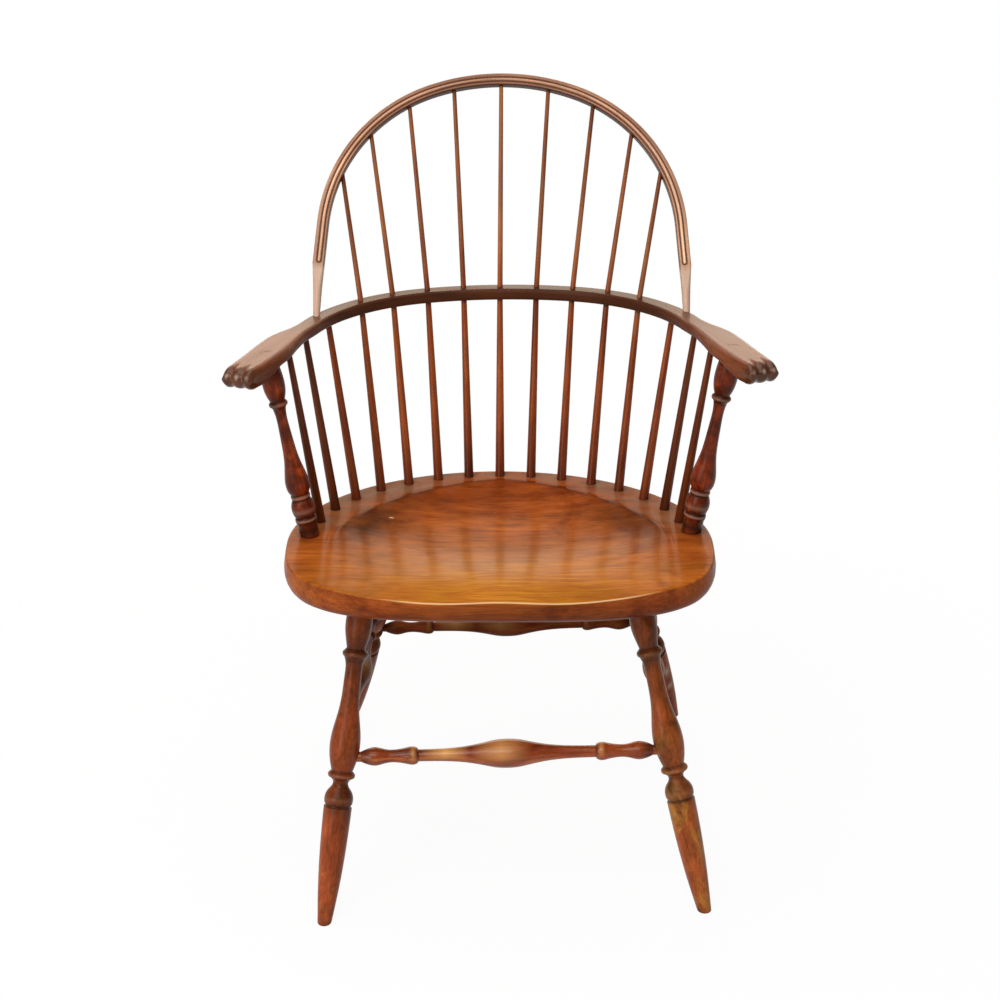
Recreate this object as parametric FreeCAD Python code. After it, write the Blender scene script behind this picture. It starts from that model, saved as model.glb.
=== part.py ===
"""Sack back windsor armchair: plank seat, turned legs and stretchers, bent arm rail and hoop, spindles.

Millimetres. X runs across the chair, Y from front to back and Z up from the floor. Every place is laid
out from the middle of the seat, and the finished chair is moved to put its footprint round the origin.
"""
import FreeCAD
import Part
import math
import os
from FreeCAD import Vector

# Seat plank: its plan is half an ellipse behind its widest line and a squarer half oval in front of it.
SEAT_TOP = 436.5
SEAT_THICK = 44.5
SEAT_BOTTOM = SEAT_TOP - SEAT_THICK
SEAT_HALF_WIDTH = 272.0
SEAT_WIDEST_Y = -30.0
SEAT_FRONT_REACH = 167.0
SEAT_REAR_REACH = 226.0
SEAT_FRONT_POWER = 3.3
SEAT_OUTLINE_POINTS = 64
# How far the side of the plank stands in, at heights above the underside: undercut below, eased on top.
SEAT_SIDE = [(0.0, 30.0), (4.0, 17.0), (9.0, 8.0), (16.0, 2.6), (24.0, 0.3), (33.0, 0.0), (40.0, 1.0),
             (44.5, 4.0), (50.0, 10.0)]
# Saddle of the seat: depth in the middle, what is left of it at the front, and the ridge between the thighs.
DISH_DEPTH = 16.0
DISH_FRONT_RISE = 0.75
DISH_RISE_END = 0.7
DISH_FRONT_ROLL = 0.3
DISH_ROLL_START = 0.55
DISH_HALF_WIDTH = 236.0
DISH_MIDDLE_Y = -15.0
DISH_REAR_REACH = 176.0
DISH_FRONT_REACH = 182.0
POMMEL_RISE = 4.0
POMMEL_HALF_WIDTH = 55.0
DISH_GRID = 33
DISH_TOOL_MARGIN = 20.0

# Spindle line on the seat: a half ellipse that the spindles and arm posts share out in equal steps.
SPINDLE_LINE_X = 238.0
SPINDLE_LINE_Y = 193.0
SPINDLE_LINE_MIDDLE_Y = -15.0
STEPS_TO_POST = 8
SEAT_SOCKET_DEPTH = 24.0

# Arm rail: one flat bent rail, a wide arc at the back, tighter arcs at the corners and straight arms.
ARM_TOP = 686.0
ARM_THICK = 15.0
ARM_MIDDLE = ARM_TOP - ARM_THICK / 2
ARM_BOTTOM = ARM_TOP - ARM_THICK
ARM_WIDTH = 26.0
ARM_BACK_Y = 237.5
ARM_BACK_RADIUS = 410.0
ARM_BACK_TURN = 13.8
ARM_CORNER_RADIUS = 209.0
ARM_CORNER_TURN = 70.0
ARM_RUN = 195.0
ARM_LONG_STEP = 48.7
ARM_SHORT_STEP = 63.0
ARM_SHORT_INSET = [0.0, 1.5, 8.0]
ARM_SINK = 11.0
# The rail was fitted a little out of level, in degrees: it rises to the right and towards the hands.
ARM_RISE_RIGHT = 0.66
ARM_RISE_FRONT = 0.47

# Hands: the rail's ends widened outside and below, with a round nose carved into three knuckles.
HAND_OUTLINE = [(6.0, 13.0), (26.0, 17.0), (46.0, 24.0), (64.0, 28.2), (94.0, 28.8), (144.0, 27.0),
                (ARM_RUN, 27.0)]
HAND_DROP = 11.5
HAND_UNDER_BACK = 133.0
HAND_UNDER_CURVE = [(0.0, 0.0), (8.0, 2.6), (18.0, 6.4), (28.0, 9.6), (38.0, 11.1)]
NOSE_RADIUS = (ARM_THICK + HAND_DROP) / 2
KNUCKLE_GROOVES = [0.5, 13.0]
KNUCKLE_GROOVE_RADIUS = 4.0
KNUCKLE_GROOVE_DEPTH = 3.0
KNUCKLE_GROOVE_LENGTH = 26.0
KNUCKLE_TOOL_WIDTH = 120.0
KNUCKLE_TOOL_MARGIN = 5.0

# Back hoop, in its own leaning plane: heights are measured up that plane from the top of the arm rail.
HOOP_TILT = 32.0
HOOP_SETTLE = 0.4
HOOP_MIDDLE_X = 2.0
HOOP_FOOT_X = 239.0
HOOP_FOOT_Y = 125.0
HOOP_HEIGHT = 314.0
HOOP_TOP_RADIUS = 281.2
HOOP_TOP_TURN = 19.4
HOOP_SIDE_RADIUS = 210.0
HOOP_SIDE_TURN = 84.9
HOOP_FACE = 15.0
HOOP_DEPTH = 17.0
HOOP_EDGE_ROUND = 3.0
HOOP_BEAD = 5.6
HOOP_BEAD_RISE = 1.4
HOOP_GROOVE = 1.6
HOOP_GROOVE_DEPTH = 0.9
HOOP_SHAVED_LENGTH = 64.0
HOOP_END_RADIUS = 3.9
HOOP_END_LAP = 2.0
HOOP_SPINDLE_STEP = 62.2
HOOP_SPINDLE_LEFT = 2.5
HOOP_SOCKET_DEPTH = 10.0

# Spindle radii at the seat, the arm rail and the hoop.
SPINDLE_SEAT_RADIUS = 6.3
SPINDLE_ARM_RADIUS = 3.7
SPINDLE_HOOP_RADIUS = 2.7
SPINDLE_LAP = 3.0
LONG_PAIRS = 4
SHORT_PAIRS = 3

# Legs: foot and top places in plan. The right legs stand out further than the left ones.
LEGS = {
    "leg_front_left": ((-222.0, -240.0), (-172.0, -105.0)),
    "leg_front_right": ((261.0, -213.0), (172.0, -105.0)),
    "leg_rear_left": ((-220.0, 298.0), (-143.0, 115.0)),
    "leg_rear_right": ((258.5, 285.0), (156.0, 115.0)),
}
LEG_TENON_RADIUS = 11.0
LEG_TENON_LENGTH = 24.0
FOOT_EDGE_ROUND = 2.0
TRIM = 30.0

# Stretchers: the legs that each joins, its height at each of them, and its girth against the pattern.
STRETCHERS = {
    "stretcher_front": ("leg_front_left", "leg_front_right", 201.0, 204.0, 1.08),
    "stretcher_rear": ("leg_rear_left", "leg_rear_right", 184.0, 201.5, 0.95),
    "stretcher_left": ("leg_front_left", "leg_rear_left", 224.0, 220.0, 0.85),
    "stretcher_right": ("leg_front_right", "leg_rear_right", 226.0, 224.0, 0.85),
}
STRETCHER_TENON_RADIUS = 6.0
STRETCHER_TENON_PAST_AXIS = 4.0
STRETCHER_PATTERN_HALF = 205.0

# Arm posts: a plain tenon in the seat, and a through tenon in the arm rail that is held by a wedge. Each
# side has how far its post stands outside the spindle line and back from its end, then how far along the
# arm it comes through and how far outside the rail's middle line. The right post (1) was set further back
# and out than the left (-1), and is a little stouter. The turning is drawn for the left post's height and
# stretched to fit.
POST_PLACES = {-1: (5.0, 0.0, 118.0, 3.5), 1: (7.5, 12.0, 111.0, 5.5)}
POST_GIRTHS = {-1: 1.05, 1: 1.09}
POST_PATTERN_HEIGHT = 248.2
POST_TENON_RADIUS = 7.0
WEDGE_WIDTH = 13.6
WEDGE_THICK = 2.4
WEDGE_TIP = 0.8
WEDGE_DEPTH = 13.0

# Room left round every tenon for glue.
GLUE_GAP = 0.1


def turned(stretches):
    """Revolve a turning about Z. Each stretch of (height, radius) points is a line, an arc or a curve."""
    edges = []
    for points in stretches:
        places = [Vector(radius, 0, height) for height, radius in points]
        if len(places) == 2:
            edges.append(Part.LineSegment(*places).toShape())
        elif len(places) == 3:
            edges.append(Part.Arc(*places).toShape())
        else:
            curve = Part.BSplineCurve()
            curve.interpolate(places)
            edges.append(curve.toShape())
    low_height, low_radius = stretches[0][0]
    high_height, high_radius = stretches[-1][-1]
    low = Vector(0, 0, low_height)
    high = Vector(0, 0, high_height)
    edges.insert(0, Part.LineSegment(low, Vector(low_radius, 0, low_height)).toShape())
    edges.append(Part.LineSegment(Vector(high_radius, 0, high_height), high).toShape())
    edges.append(Part.LineSegment(high, low).toShape())
    face = Part.Face(Part.Wire(edges))
    return face.revolve(Vector(0, 0, 0), Vector(0, 0, 1), 360)


def stand(shape, start, end):
    """Lay a shape that was made along Z on the line from start towards end."""
    placed = shape.copy()
    placed.Placement = FreeCAD.Placement(start, FreeCAD.Rotation(Vector(0, 0, 1), end - start))
    return placed


def rod(start, end, start_radius, end_radius):
    """A straight or tapered round rod between two places."""
    length = (end - start).Length
    if abs(start_radius - end_radius) < 0.001:
        return Part.makeCylinder(start_radius, length, start, end - start)
    return Part.makeCone(start_radius, end_radius, length, start, end - start)


def slab(low, high):
    """Everything between two heights, to trim slanting pieces to flat shoulders."""
    size = 2000.0
    return Part.makeBox(size, size, high - low, Vector(-size / 2, -size / 2, low))


def unit(vector):
    """The same direction, one millimetre long."""
    return vector / vector.Length


# Seat
def seat_outline(inset, height):
    """The plan of the plank, set in by a distance, as one closed curve."""
    places = []
    for step in range(SEAT_OUTLINE_POINTS):
        angle = 2 * math.pi * step / SEAT_OUTLINE_POINTS
        side, along = math.cos(angle), math.sin(angle)
        power = 1.0 if along >= 0 else 2 / SEAT_FRONT_POWER
        reach = SEAT_REAR_REACH if along >= 0 else SEAT_FRONT_REACH
        x = math.copysign(abs(side) ** power, side) * (SEAT_HALF_WIDTH - inset)
        y = math.copysign(abs(along) ** power, along) * (reach - inset)
        places.append(Vector(x, SEAT_WIDEST_Y + y, height))
    curve = Part.BSplineCurve()
    curve.interpolate(places, True)
    return Part.Wire(curve.toShape())


def seat_height(x, y):
    """Height of the saddled top: a dish inside the spindle deck that runs out over the front edge."""
    back = max(y - DISH_MIDDLE_Y, 0.0) / DISH_REAR_REACH
    front = max(DISH_MIDDLE_Y - y, 0.0) / DISH_FRONT_REACH
    reach = min(math.hypot(x / DISH_HALF_WIDTH, back), 1.0)
    share = min(front / DISH_RISE_END, 1.0)
    fade = 1 - DISH_FRONT_RISE * share * share * (3 - 2 * share)
    roll = DISH_FRONT_ROLL * (max(front - DISH_ROLL_START, 0.0) / (1 - DISH_ROLL_START)) ** 2
    depth = DISH_DEPTH * (1 - reach ** 4) ** 1.5 * (fade + roll)
    ridge = POMMEL_RISE * math.exp(-((x / POMMEL_HALF_WIDTH) ** 2)) * min(front, 1.2) ** 2
    return SEAT_TOP - depth + ridge


def saddle_tool():
    """The wood that is carved away above the seat's finished top."""
    half_x = SEAT_HALF_WIDTH + DISH_TOOL_MARGIN
    low_y = SEAT_WIDEST_Y - SEAT_FRONT_REACH - DISH_TOOL_MARGIN
    high_y = SEAT_WIDEST_Y + SEAT_REAR_REACH + DISH_TOOL_MARGIN
    rows = []
    for row in range(DISH_GRID):
        x = half_x * (2 * row / (DISH_GRID - 1) - 1)
        places = []
        for column in range(DISH_GRID):
            y = low_y + (high_y - low_y) * column / (DISH_GRID - 1)
            places.append(Vector(x, y, seat_height(x, y)))
        rows.append(places)
    surface = Part.BSplineSurface()
    surface.interpolate(rows)
    return surface.toShape().extrude(Vector(0, 0, SEAT_THICK))


def seat_blank():
    """The plank with its undercut sides and its saddled top, before any socket is bored."""
    wires = [seat_outline(inset, SEAT_BOTTOM + rise) for rise, inset in SEAT_SIDE]
    return Part.makeLoft(wires, True, False).cut(saddle_tool())


# Spindle places
def seat_place(step):
    """Where a spindle or post stands on the seat, in equal steps from the middle of the back."""
    ellipse = Part.Ellipse(Vector(0, SPINDLE_LINE_MIDDLE_Y, SEAT_TOP), SPINDLE_LINE_X, SPINDLE_LINE_Y)
    quarter = Part.Edge(ellipse, 0, math.pi / 2)
    share = quarter.Length * (1 - abs(step) / STEPS_TO_POST)
    place = quarter.valueAt(quarter.getParameterByLength(share))
    return Vector(math.copysign(place.x, step) if step else 0.0, place.y, SEAT_TOP)


def arm_place(run, offset, height):
    """A place on the right half of the arm rail: run along its middle line, offset outwards from it."""
    back_turn = math.radians(ARM_BACK_TURN)
    corner_turn = math.radians(ARM_CORNER_TURN)
    back_run = ARM_BACK_RADIUS * back_turn
    corner_run = ARM_CORNER_RADIUS * (corner_turn - back_turn)
    turn = min(run / ARM_BACK_RADIUS, back_turn)
    x = (ARM_BACK_RADIUS + offset) * math.sin(turn)
    y = ARM_BACK_Y - ARM_BACK_RADIUS + (ARM_BACK_RADIUS + offset) * math.cos(turn)
    if run > back_run:
        turn = min(back_turn + (run - back_run) / ARM_CORNER_RADIUS, corner_turn)
        x += (ARM_CORNER_RADIUS + offset) * (math.sin(turn) - math.sin(back_turn))
        y += (ARM_CORNER_RADIUS + offset) * (math.cos(turn) - math.cos(back_turn))
    straight = max(run - back_run - corner_run, 0.0)
    return Vector(x + straight * math.cos(turn), y - straight * math.sin(turn), height)


def arm_straight_start():
    """How far along the rail's middle line its straight arm begins."""
    back_turn = math.radians(ARM_BACK_TURN)
    return ARM_BACK_RADIUS * back_turn + ARM_CORNER_RADIUS * (math.radians(ARM_CORNER_TURN) - back_turn)


def mirrored(vector):
    """The same place on the other side of the chair."""
    return Vector(-vector.x, vector.y, vector.z)


def arm_fit():
    """How the arm rail sits: turned out of level about the middle of its back."""
    to_right = FreeCAD.Rotation(Vector(0, 1, 0), -ARM_RISE_RIGHT)
    to_front = FreeCAD.Rotation(Vector(1, 0, 0), -ARM_RISE_FRONT)
    return FreeCAD.Placement(Vector(0, 0, 0), to_right.multiply(to_front), Vector(0, ARM_BACK_Y, ARM_MIDDLE))


def fitted(shape):
    """A shape that was made on the level rail, brought to how the rail sits."""
    return shape.transformed(arm_fit().toMatrix(), True)


def arm_hole(step):
    """Where a spindle crosses the middle of the arm rail's thickness."""
    count = abs(step)
    if count <= LONG_PAIRS:
        place = arm_place(count * ARM_LONG_STEP, 0.0, ARM_MIDDLE)
    else:
        beyond = count - LONG_PAIRS
        run = LONG_PAIRS * ARM_LONG_STEP + beyond * ARM_SHORT_STEP
        place = arm_place(run, -ARM_SHORT_INSET[beyond - 1], ARM_MIDDLE)
    return arm_fit().multVec(mirrored(place) if step < 0 else place)


def hoop_place(side, run, inward, forward):
    """A place on the hoop: run along its middle line from the top to one side, then inward and forward."""
    top_turn = math.radians(HOOP_TOP_TURN)
    side_turn = math.radians(HOOP_SIDE_TURN)
    turn = min(run / HOOP_TOP_RADIUS, top_turn)
    x = (HOOP_TOP_RADIUS - inward) * math.sin(turn)
    rise = HOOP_HEIGHT - HOOP_TOP_RADIUS + (HOOP_TOP_RADIUS - inward) * math.cos(turn)
    beyond = run - HOOP_TOP_RADIUS * top_turn
    if beyond > 0:
        turn = min(top_turn + beyond / HOOP_SIDE_RADIUS, side_turn)
        x += (HOOP_SIDE_RADIUS - inward) * (math.sin(turn) - math.sin(top_turn))
        rise += (HOOP_SIDE_RADIUS - inward) * (math.cos(turn) - math.cos(top_turn))
        straight = max(beyond - HOOP_SIDE_RADIUS * (side_turn - top_turn), 0.0)
        x += straight * math.cos(side_turn)
        rise -= straight * math.sin(side_turn)
    settle = math.radians(HOOP_SETTLE)
    x *= side
    settled_x = x * math.cos(settle) + rise * math.sin(settle)
    settled_rise = rise * math.cos(settle) - x * math.sin(settle)
    return leaning(settled_x, settled_rise, forward)


def leaning(x, rise, forward):
    """A place in the hoop's leaning plane, rise up it from the arm rail and forward out of it."""
    tilt = math.radians(HOOP_TILT)
    y = HOOP_FOOT_Y + rise * math.sin(tilt) - forward * math.cos(tilt)
    return Vector(HOOP_MIDDLE_X + x, y, ARM_TOP + rise * math.cos(tilt) + forward * math.sin(tilt))


def hoop_hole(step):
    """The bottom of a long spindle's socket in the hoop."""
    side = -1 if step < 0 else 1
    run = abs(step) * HOOP_SPINDLE_STEP - side * HOOP_SPINDLE_LEFT
    return hoop_place(side, run, HOOP_FACE / 2 - HOOP_SOCKET_DEPTH, 0.0)


def spindle(step, grow):
    """A whittled spindle, tapering all the way up. Grown by the glue gap, it is the tool for its sockets."""
    base = seat_place(step)
    crossing = arm_hole(step)
    up = unit(crossing - base)
    foot = base - up * (SEAT_SOCKET_DEPTH + grow)
    seat_radius = SPINDLE_SEAT_RADIUS + grow
    arm_radius = SPINDLE_ARM_RADIUS + grow
    root = rod(foot, base, seat_radius, seat_radius)
    if abs(step) > LONG_PAIRS:
        end = crossing + up * (ARM_SINK - ARM_THICK / 2 + grow)
        return root.fuse(rod(base, end, seat_radius, arm_radius)).removeSplitter()
    head = hoop_hole(step)
    on = unit(head - crossing)
    lower = rod(base, crossing + up * SPINDLE_LAP, seat_radius, arm_radius)
    upper = rod(crossing - on * SPINDLE_LAP, head + on * grow, arm_radius, SPINDLE_HOOP_RADIUS + grow)
    return root.fuse([lower, upper]).removeSplitter()


# Legs
def leg_turning(slant):
    """The leg's turning from below the floor to above the seat's underside. Heights follow the slant."""
    level = [
        [(-TRIM, 8.0), (0.0, 8.8), (20.0, 11.0), (45.0, 13.5), (70.0, 15.4), (100.0, 16.9), (141.5, 17.8)],
        [(141.5, 17.8), (142.5, 16.2)],
        [(142.5, 16.2), (144.5, 16.2)],
        [(144.5, 16.2), (145.5, 17.4)],
        [(145.5, 17.4), (152.0, 18.2), (160.0, 15.6), (166.0, 11.0), (170.5, 9.6), (174.0, 11.2),
         (177.5, 16.2)],
        [(177.5, 16.2), (180.0, 17.2), (182.5, 16.2)],
        [(182.5, 16.2), (185.0, 13.4)],
        [(185.0, 13.4), (188.0, 14.4), (200.0, 17.6), (214.0, 19.1), (231.0, 17.9), (253.0, 13.7),
         (273.0, 11.3), (297.0, 10.7), (314.0, 11.3), (321.5, 14.0)],
        [(321.5, 14.0), (325.0, 16.4), (328.5, 14.4)],
        [(328.5, 14.4), (331.5, 11.8)],
        [(331.5, 11.8), (341.0, 14.0), (352.0, 16.2), (363.0, 16.8), (376.0, 16.0),
         (SEAT_BOTTOM + TRIM, 12.6)],
    ]
    return [[(height * slant, radius) for height, radius in points] for points in level]


def leg_ends(name):
    """The foot and the top of a leg's middle line."""
    foot, top = LEGS[name]
    return Vector(*foot, 0.0), Vector(*top, SEAT_BOTTOM)


def leg_place(name, height):
    """The place on a leg's middle line at a height above the floor."""
    foot, top = leg_ends(name)
    return foot + (top - foot) * (height / SEAT_BOTTOM)


def leg_tenon(name, grow):
    """The round tenon in the seat."""
    foot, top = leg_ends(name)
    up = unit(top - foot)
    start = top - up * LEG_TENON_LENGTH / 2
    radius = LEG_TENON_RADIUS + grow
    return rod(start, top + up * (LEG_TENON_LENGTH + grow), radius, radius)


def leg(name):
    """A turned leg, cut flat at the floor with its edge eased, and shouldered under the seat."""
    foot, top = leg_ends(name)
    slant = (top - foot).Length / SEAT_BOTTOM
    turning = stand(turned(leg_turning(slant)), foot, top)
    trimmed = turning.common(slab(0.0, SEAT_BOTTOM))
    floor_edges = [edge for edge in trimmed.Edges if edge.BoundBox.ZMax < 0.01]
    eased = trimmed.makeFillet(FOOT_EDGE_ROUND, floor_edges)
    sockets = [stretcher_tenon(stretcher, end, GLUE_GAP) for stretcher, ends in STRETCHERS.items()
               for end in (0, 1) if ends[end] == name]
    return eased.fuse(leg_tenon(name, 0.0)).cut(sockets).removeSplitter()


# Stretchers
def stretcher_ends(name):
    """The places on the two legs' middle lines that a stretcher joins."""
    first, last, first_height, last_height, _ = STRETCHERS[name]
    return leg_place(first, first_height), leg_place(last, last_height)


def stretcher_tenon(name, end, grow):
    """One end's tenon, from past the leg's middle line to clear of the leg."""
    ends = stretcher_ends(name)
    here, there = ends[end], ends[1 - end]
    inwards = unit(there - here)
    radius = STRETCHER_TENON_RADIUS * STRETCHERS[name][-1] + grow
    start = here - inwards * (STRETCHER_TENON_PAST_AXIS + grow)
    return rod(start, here + inwards * TRIM, radius, radius)


def stretcher(name):
    """A stretcher: bulb, neck, ring with a step, and a swelling at the middle, the same both ways."""
    start, end = stretcher_ends(name)
    stout = STRETCHERS[name][-1]
    half = (end - start).Length / 2
    stretch = half / STRETCHER_PATTERN_HALF
    tip = STRETCHER_TENON_RADIUS
    right_half = [
        [(0.0, 17.0), (14.0, 16.2), (29.0, 13.4), (54.0, 9.3), (79.0, 7.5), (111.0, 7.0)],
        [(111.0, 7.0), (112.5, 9.0)],
        [(112.5, 9.0), (118.0, 10.7), (126.0, 9.6), (136.0, 7.9), (145.0, 7.4), (154.0, 8.6), (165.0, 10.8),
         (175.0, 9.2), (183.0, tip)],
        [(183.0, tip), (STRETCHER_PATTERN_HALF, tip)],
    ]
    right = [[(place * stretch, radius * stout) for place, radius in points] for points in right_half]
    last_place, last_radius = right[-1][-1]
    right[-1][-1] = (last_place + STRETCHER_TENON_PAST_AXIS, last_radius)
    left = [[(-place, radius) for place, radius in reversed(points)] for points in reversed(right)]
    middle = left.pop()[:-1] + right.pop(0)
    return stand(turned(left + [middle] + right), (start + end) / 2, end)


# Arm posts
def post_ends(side):
    """A post's middle line, from the top of the seat to the top of the arm rail."""
    out, back, run, offset = POST_PLACES[side]
    base = seat_place(STEPS_TO_POST) + Vector(out, back, 0)
    top = arm_place(arm_straight_start() + run, offset, ARM_TOP)
    if side < 0:
        base, top = mirrored(base), mirrored(top)
    return base, arm_fit().multVec(top)


def post_tenons(side, grow):
    """The tenon in the seat and the one right through the arm rail."""
    base, top = post_ends(side)
    up = unit(top - base)
    radius = POST_TENON_RADIUS + grow
    low = rod(base - up * (SEAT_SOCKET_DEPTH + grow), base + up * TRIM, radius, radius)
    high = rod(top - up * TRIM, top + up * TRIM, radius, radius)
    return low, high


def wedge(side):
    """The thin wedge driven into the end of the through tenon, across the run of the arm."""
    base, top = post_ends(side)
    corners = [(-WEDGE_THICK / 2, 0), (WEDGE_THICK / 2, 0), (WEDGE_TIP / 2, -WEDGE_DEPTH),
               (-WEDGE_TIP / 2, -WEDGE_DEPTH), (-WEDGE_THICK / 2, 0)]
    blade = Part.Wire(Part.makePolygon([Vector(x, 0, z) for x, z in corners]))
    solid = Part.Face(blade).extrude(Vector(0, WEDGE_WIDTH, 0))
    solid.translate(Vector(0, -WEDGE_WIDTH / 2, 0))
    solid.rotate(Vector(0, 0, 0), Vector(0, 0, 1), side * ARM_CORNER_TURN)
    solid.Placement = FreeCAD.Placement(top, arm_fit().Rotation).multiply(solid.Placement)
    up = unit(top - base)
    return solid.common(rod(top - up * TRIM, top + up * TRIM, POST_TENON_RADIUS, POST_TENON_RADIUS))


def arm_post(side):
    """A turned arm post between its two shoulders, with its tenons and the cut for its wedge."""
    base, top = post_ends(side)
    girth = POST_GIRTHS[side]
    stretch = (top - base).Length / POST_PATTERN_HEIGHT
    level = [
        [(-TRIM, 10.6), (18.0, 12.0)],
        [(18.0, 12.0), (22.0, 13.2), (26.0, 12.4)],
        [(26.0, 12.4), (27.5, 11.2)],
        [(27.5, 11.2), (28.5, 12.6)],
        [(28.5, 12.6), (39.0, 14.4), (50.0, 11.4)],
        [(50.0, 11.4), (51.0, 10.6)],
        [(51.0, 10.6), (54.5, 11.9), (58.0, 10.8)],
        [(58.0, 10.8), (62.0, 13.0), (71.0, 14.6), (84.0, 13.2), (103.0, 9.6), (122.0, 7.9), (144.0, 6.9),
         (168.0, 7.0), (174.0, 8.0)],
        [(174.0, 8.0), (177.0, 9.8)],
        [(177.0, 9.8), (179.5, 11.4), (182.0, 10.2)],
        [(182.0, 10.2), (184.0, 8.8)],
        [(184.0, 8.8), (192.0, 11.6), (203.0, 13.2), (218.0, 12.8), (236.0 + TRIM, 9.6)],
    ]
    shape = [[(height * stretch, radius * girth) for height, radius in points] for points in level]
    body = stand(turned(shape), base, top).common(slab(SEAT_TOP, ARM_TOP + TRIM))
    low, high = post_tenons(side, 0.0)
    parts = [low, high.common(fitted(slab(0.0, ARM_TOP)))]
    whole = body.common(fitted(slab(0.0, ARM_BOTTOM))).fuse(parts)
    return whole.cut(wedge(side)).removeSplitter()


# Hands
def arm_frame(side, solid):
    """Bring a solid made along the straight arm, X forwards, Y outwards, Z up, to its arm."""
    start = arm_place(arm_straight_start(), 0.0, ARM_TOP)
    placed = solid.copy()
    placed.rotate(Vector(0, 0, 0), Vector(0, 0, 1), -ARM_CORNER_TURN)
    placed.translate(start)
    return fitted(placed if side > 0 else placed.mirror(Vector(0, 0, 0), Vector(1, 0, 0)))


def knuckle_tools():
    """What is carved off a hand: the corners round its nose, and two grooves over the nose."""
    wide, margin = KNUCKLE_TOOL_WIDTH, KNUCKLE_TOOL_MARGIN
    centre = Vector(ARM_RUN - NOSE_RADIUS, 0, -NOSE_RADIUS)
    across = Vector(0, 1, 0)
    corner = Part.makeBox(NOSE_RADIUS + margin, wide, 2 * (NOSE_RADIUS + margin),
                          Vector(centre.x, -wide / 2, centre.z - NOSE_RADIUS - margin))
    nose = Part.makeCylinder(NOSE_RADIUS, wide, Vector(centre.x, -wide / 2, centre.z), across)
    tools = [corner.cut(nose)]
    ring = NOSE_RADIUS + KNUCKLE_GROOVE_RADIUS - KNUCKLE_GROOVE_DEPTH
    for place in KNUCKLE_GROOVES:
        hub = Vector(centre.x, place, centre.z)
        tools.append(Part.makeTorus(ring, KNUCKLE_GROOVE_RADIUS, hub, across))
        start = Vector(centre.x, place, centre.z + ring)
        end = Vector(centre.x - KNUCKLE_GROOVE_LENGTH, place, centre.z + NOSE_RADIUS + KNUCKLE_GROOVE_RADIUS)
        tools.append(rod(start, end, KNUCKLE_GROOVE_RADIUS, KNUCKLE_GROOVE_RADIUS))
    return tools


def hand_side():
    """The piece glued outside the straight arm, swelling in an ogee to the full width of the hand."""
    half = ARM_WIDTH / 2
    curve = Part.BSplineCurve()
    places = [Vector(run, offset, 0) for run, offset in HAND_OUTLINE]
    curve.interpolate(Points=places, InitialTangent=Vector(1, 0.08, 0), FinalTangent=Vector(1, 0, 0))
    first_run = HAND_OUTLINE[0][0]
    last_run, last_offset = HAND_OUTLINE[-1]
    inner_corner = Vector(last_run, half, 0)
    edges = [
        curve.toShape(),
        Part.LineSegment(Vector(last_run, last_offset, 0), inner_corner).toShape(),
        Part.LineSegment(inner_corner, Vector(first_run, half, 0)).toShape(),
    ]
    return Part.Face(Part.Wire(edges)).extrude(Vector(0, 0, -ARM_THICK)).cut(knuckle_tools())


def hand_under():
    """The block glued under the end of the arm, which gives the knuckles their depth."""
    back = HAND_UNDER_BACK
    half = ARM_WIDTH / 2
    width = half + HAND_OUTLINE[-2][1]
    low = -ARM_THICK - HAND_DROP
    side = Part.BSplineCurve()
    places = [Vector(back + run, -half, -ARM_THICK - drop) for run, drop in HAND_UNDER_CURVE]
    side.interpolate(places + [Vector(ARM_RUN - NOSE_RADIUS, -half, low)])
    corner = Vector(ARM_RUN, -half, low)
    top = Vector(ARM_RUN, -half, -ARM_THICK)
    edges = [
        side.toShape(),
        Part.LineSegment(Vector(ARM_RUN - NOSE_RADIUS, -half, low), corner).toShape(),
        Part.LineSegment(corner, top).toShape(),
        Part.LineSegment(top, Vector(back, -half, -ARM_THICK)).toShape(),
    ]
    return Part.Face(Part.Wire(edges)).extrude(Vector(0, width, 0)).cut(knuckle_tools())


# Arm rail
def arm_line(offset):
    """The edges of one side of the rail, right half then left half, from hand to hand round the back."""
    start = arm_straight_start()
    back_run = ARM_BACK_RADIUS * math.radians(ARM_BACK_TURN)
    runs = [start + ARM_RUN, start, (start + back_run) / 2, back_run, 0.0]
    right = [arm_place(run, offset, ARM_BOTTOM) for run in runs]
    left = [mirrored(place) for place in right]
    return [
        Part.LineSegment(right[0], right[1]).toShape(),
        Part.Arc(right[1], right[2], right[3]).toShape(),
        Part.Arc(right[3], right[4], left[3]).toShape(),
        Part.Arc(left[3], left[2], left[1]).toShape(),
        Part.LineSegment(left[1], left[0]).toShape(),
    ], right[0], left[0]


def arm_bow(tools):
    """The bent arm rail with its sockets and carved ends."""
    outer, outer_right, outer_left = arm_line(ARM_WIDTH / 2)
    inner, inner_right, inner_left = arm_line(-ARM_WIDTH / 2)
    ends = [
        Part.LineSegment(outer_left, inner_left).toShape(),
        Part.LineSegment(inner_right, outer_right).toShape(),
    ]
    wire = Part.Wire(Part.__sortEdges__(outer + inner + ends))
    rail = fitted(Part.Face(wire).extrude(Vector(0, 0, ARM_THICK)))
    knuckles = [arm_frame(side, tool) for side in (-1, 1) for tool in knuckle_tools()]
    return rail.cut(knuckles).cut(tools)


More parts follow.
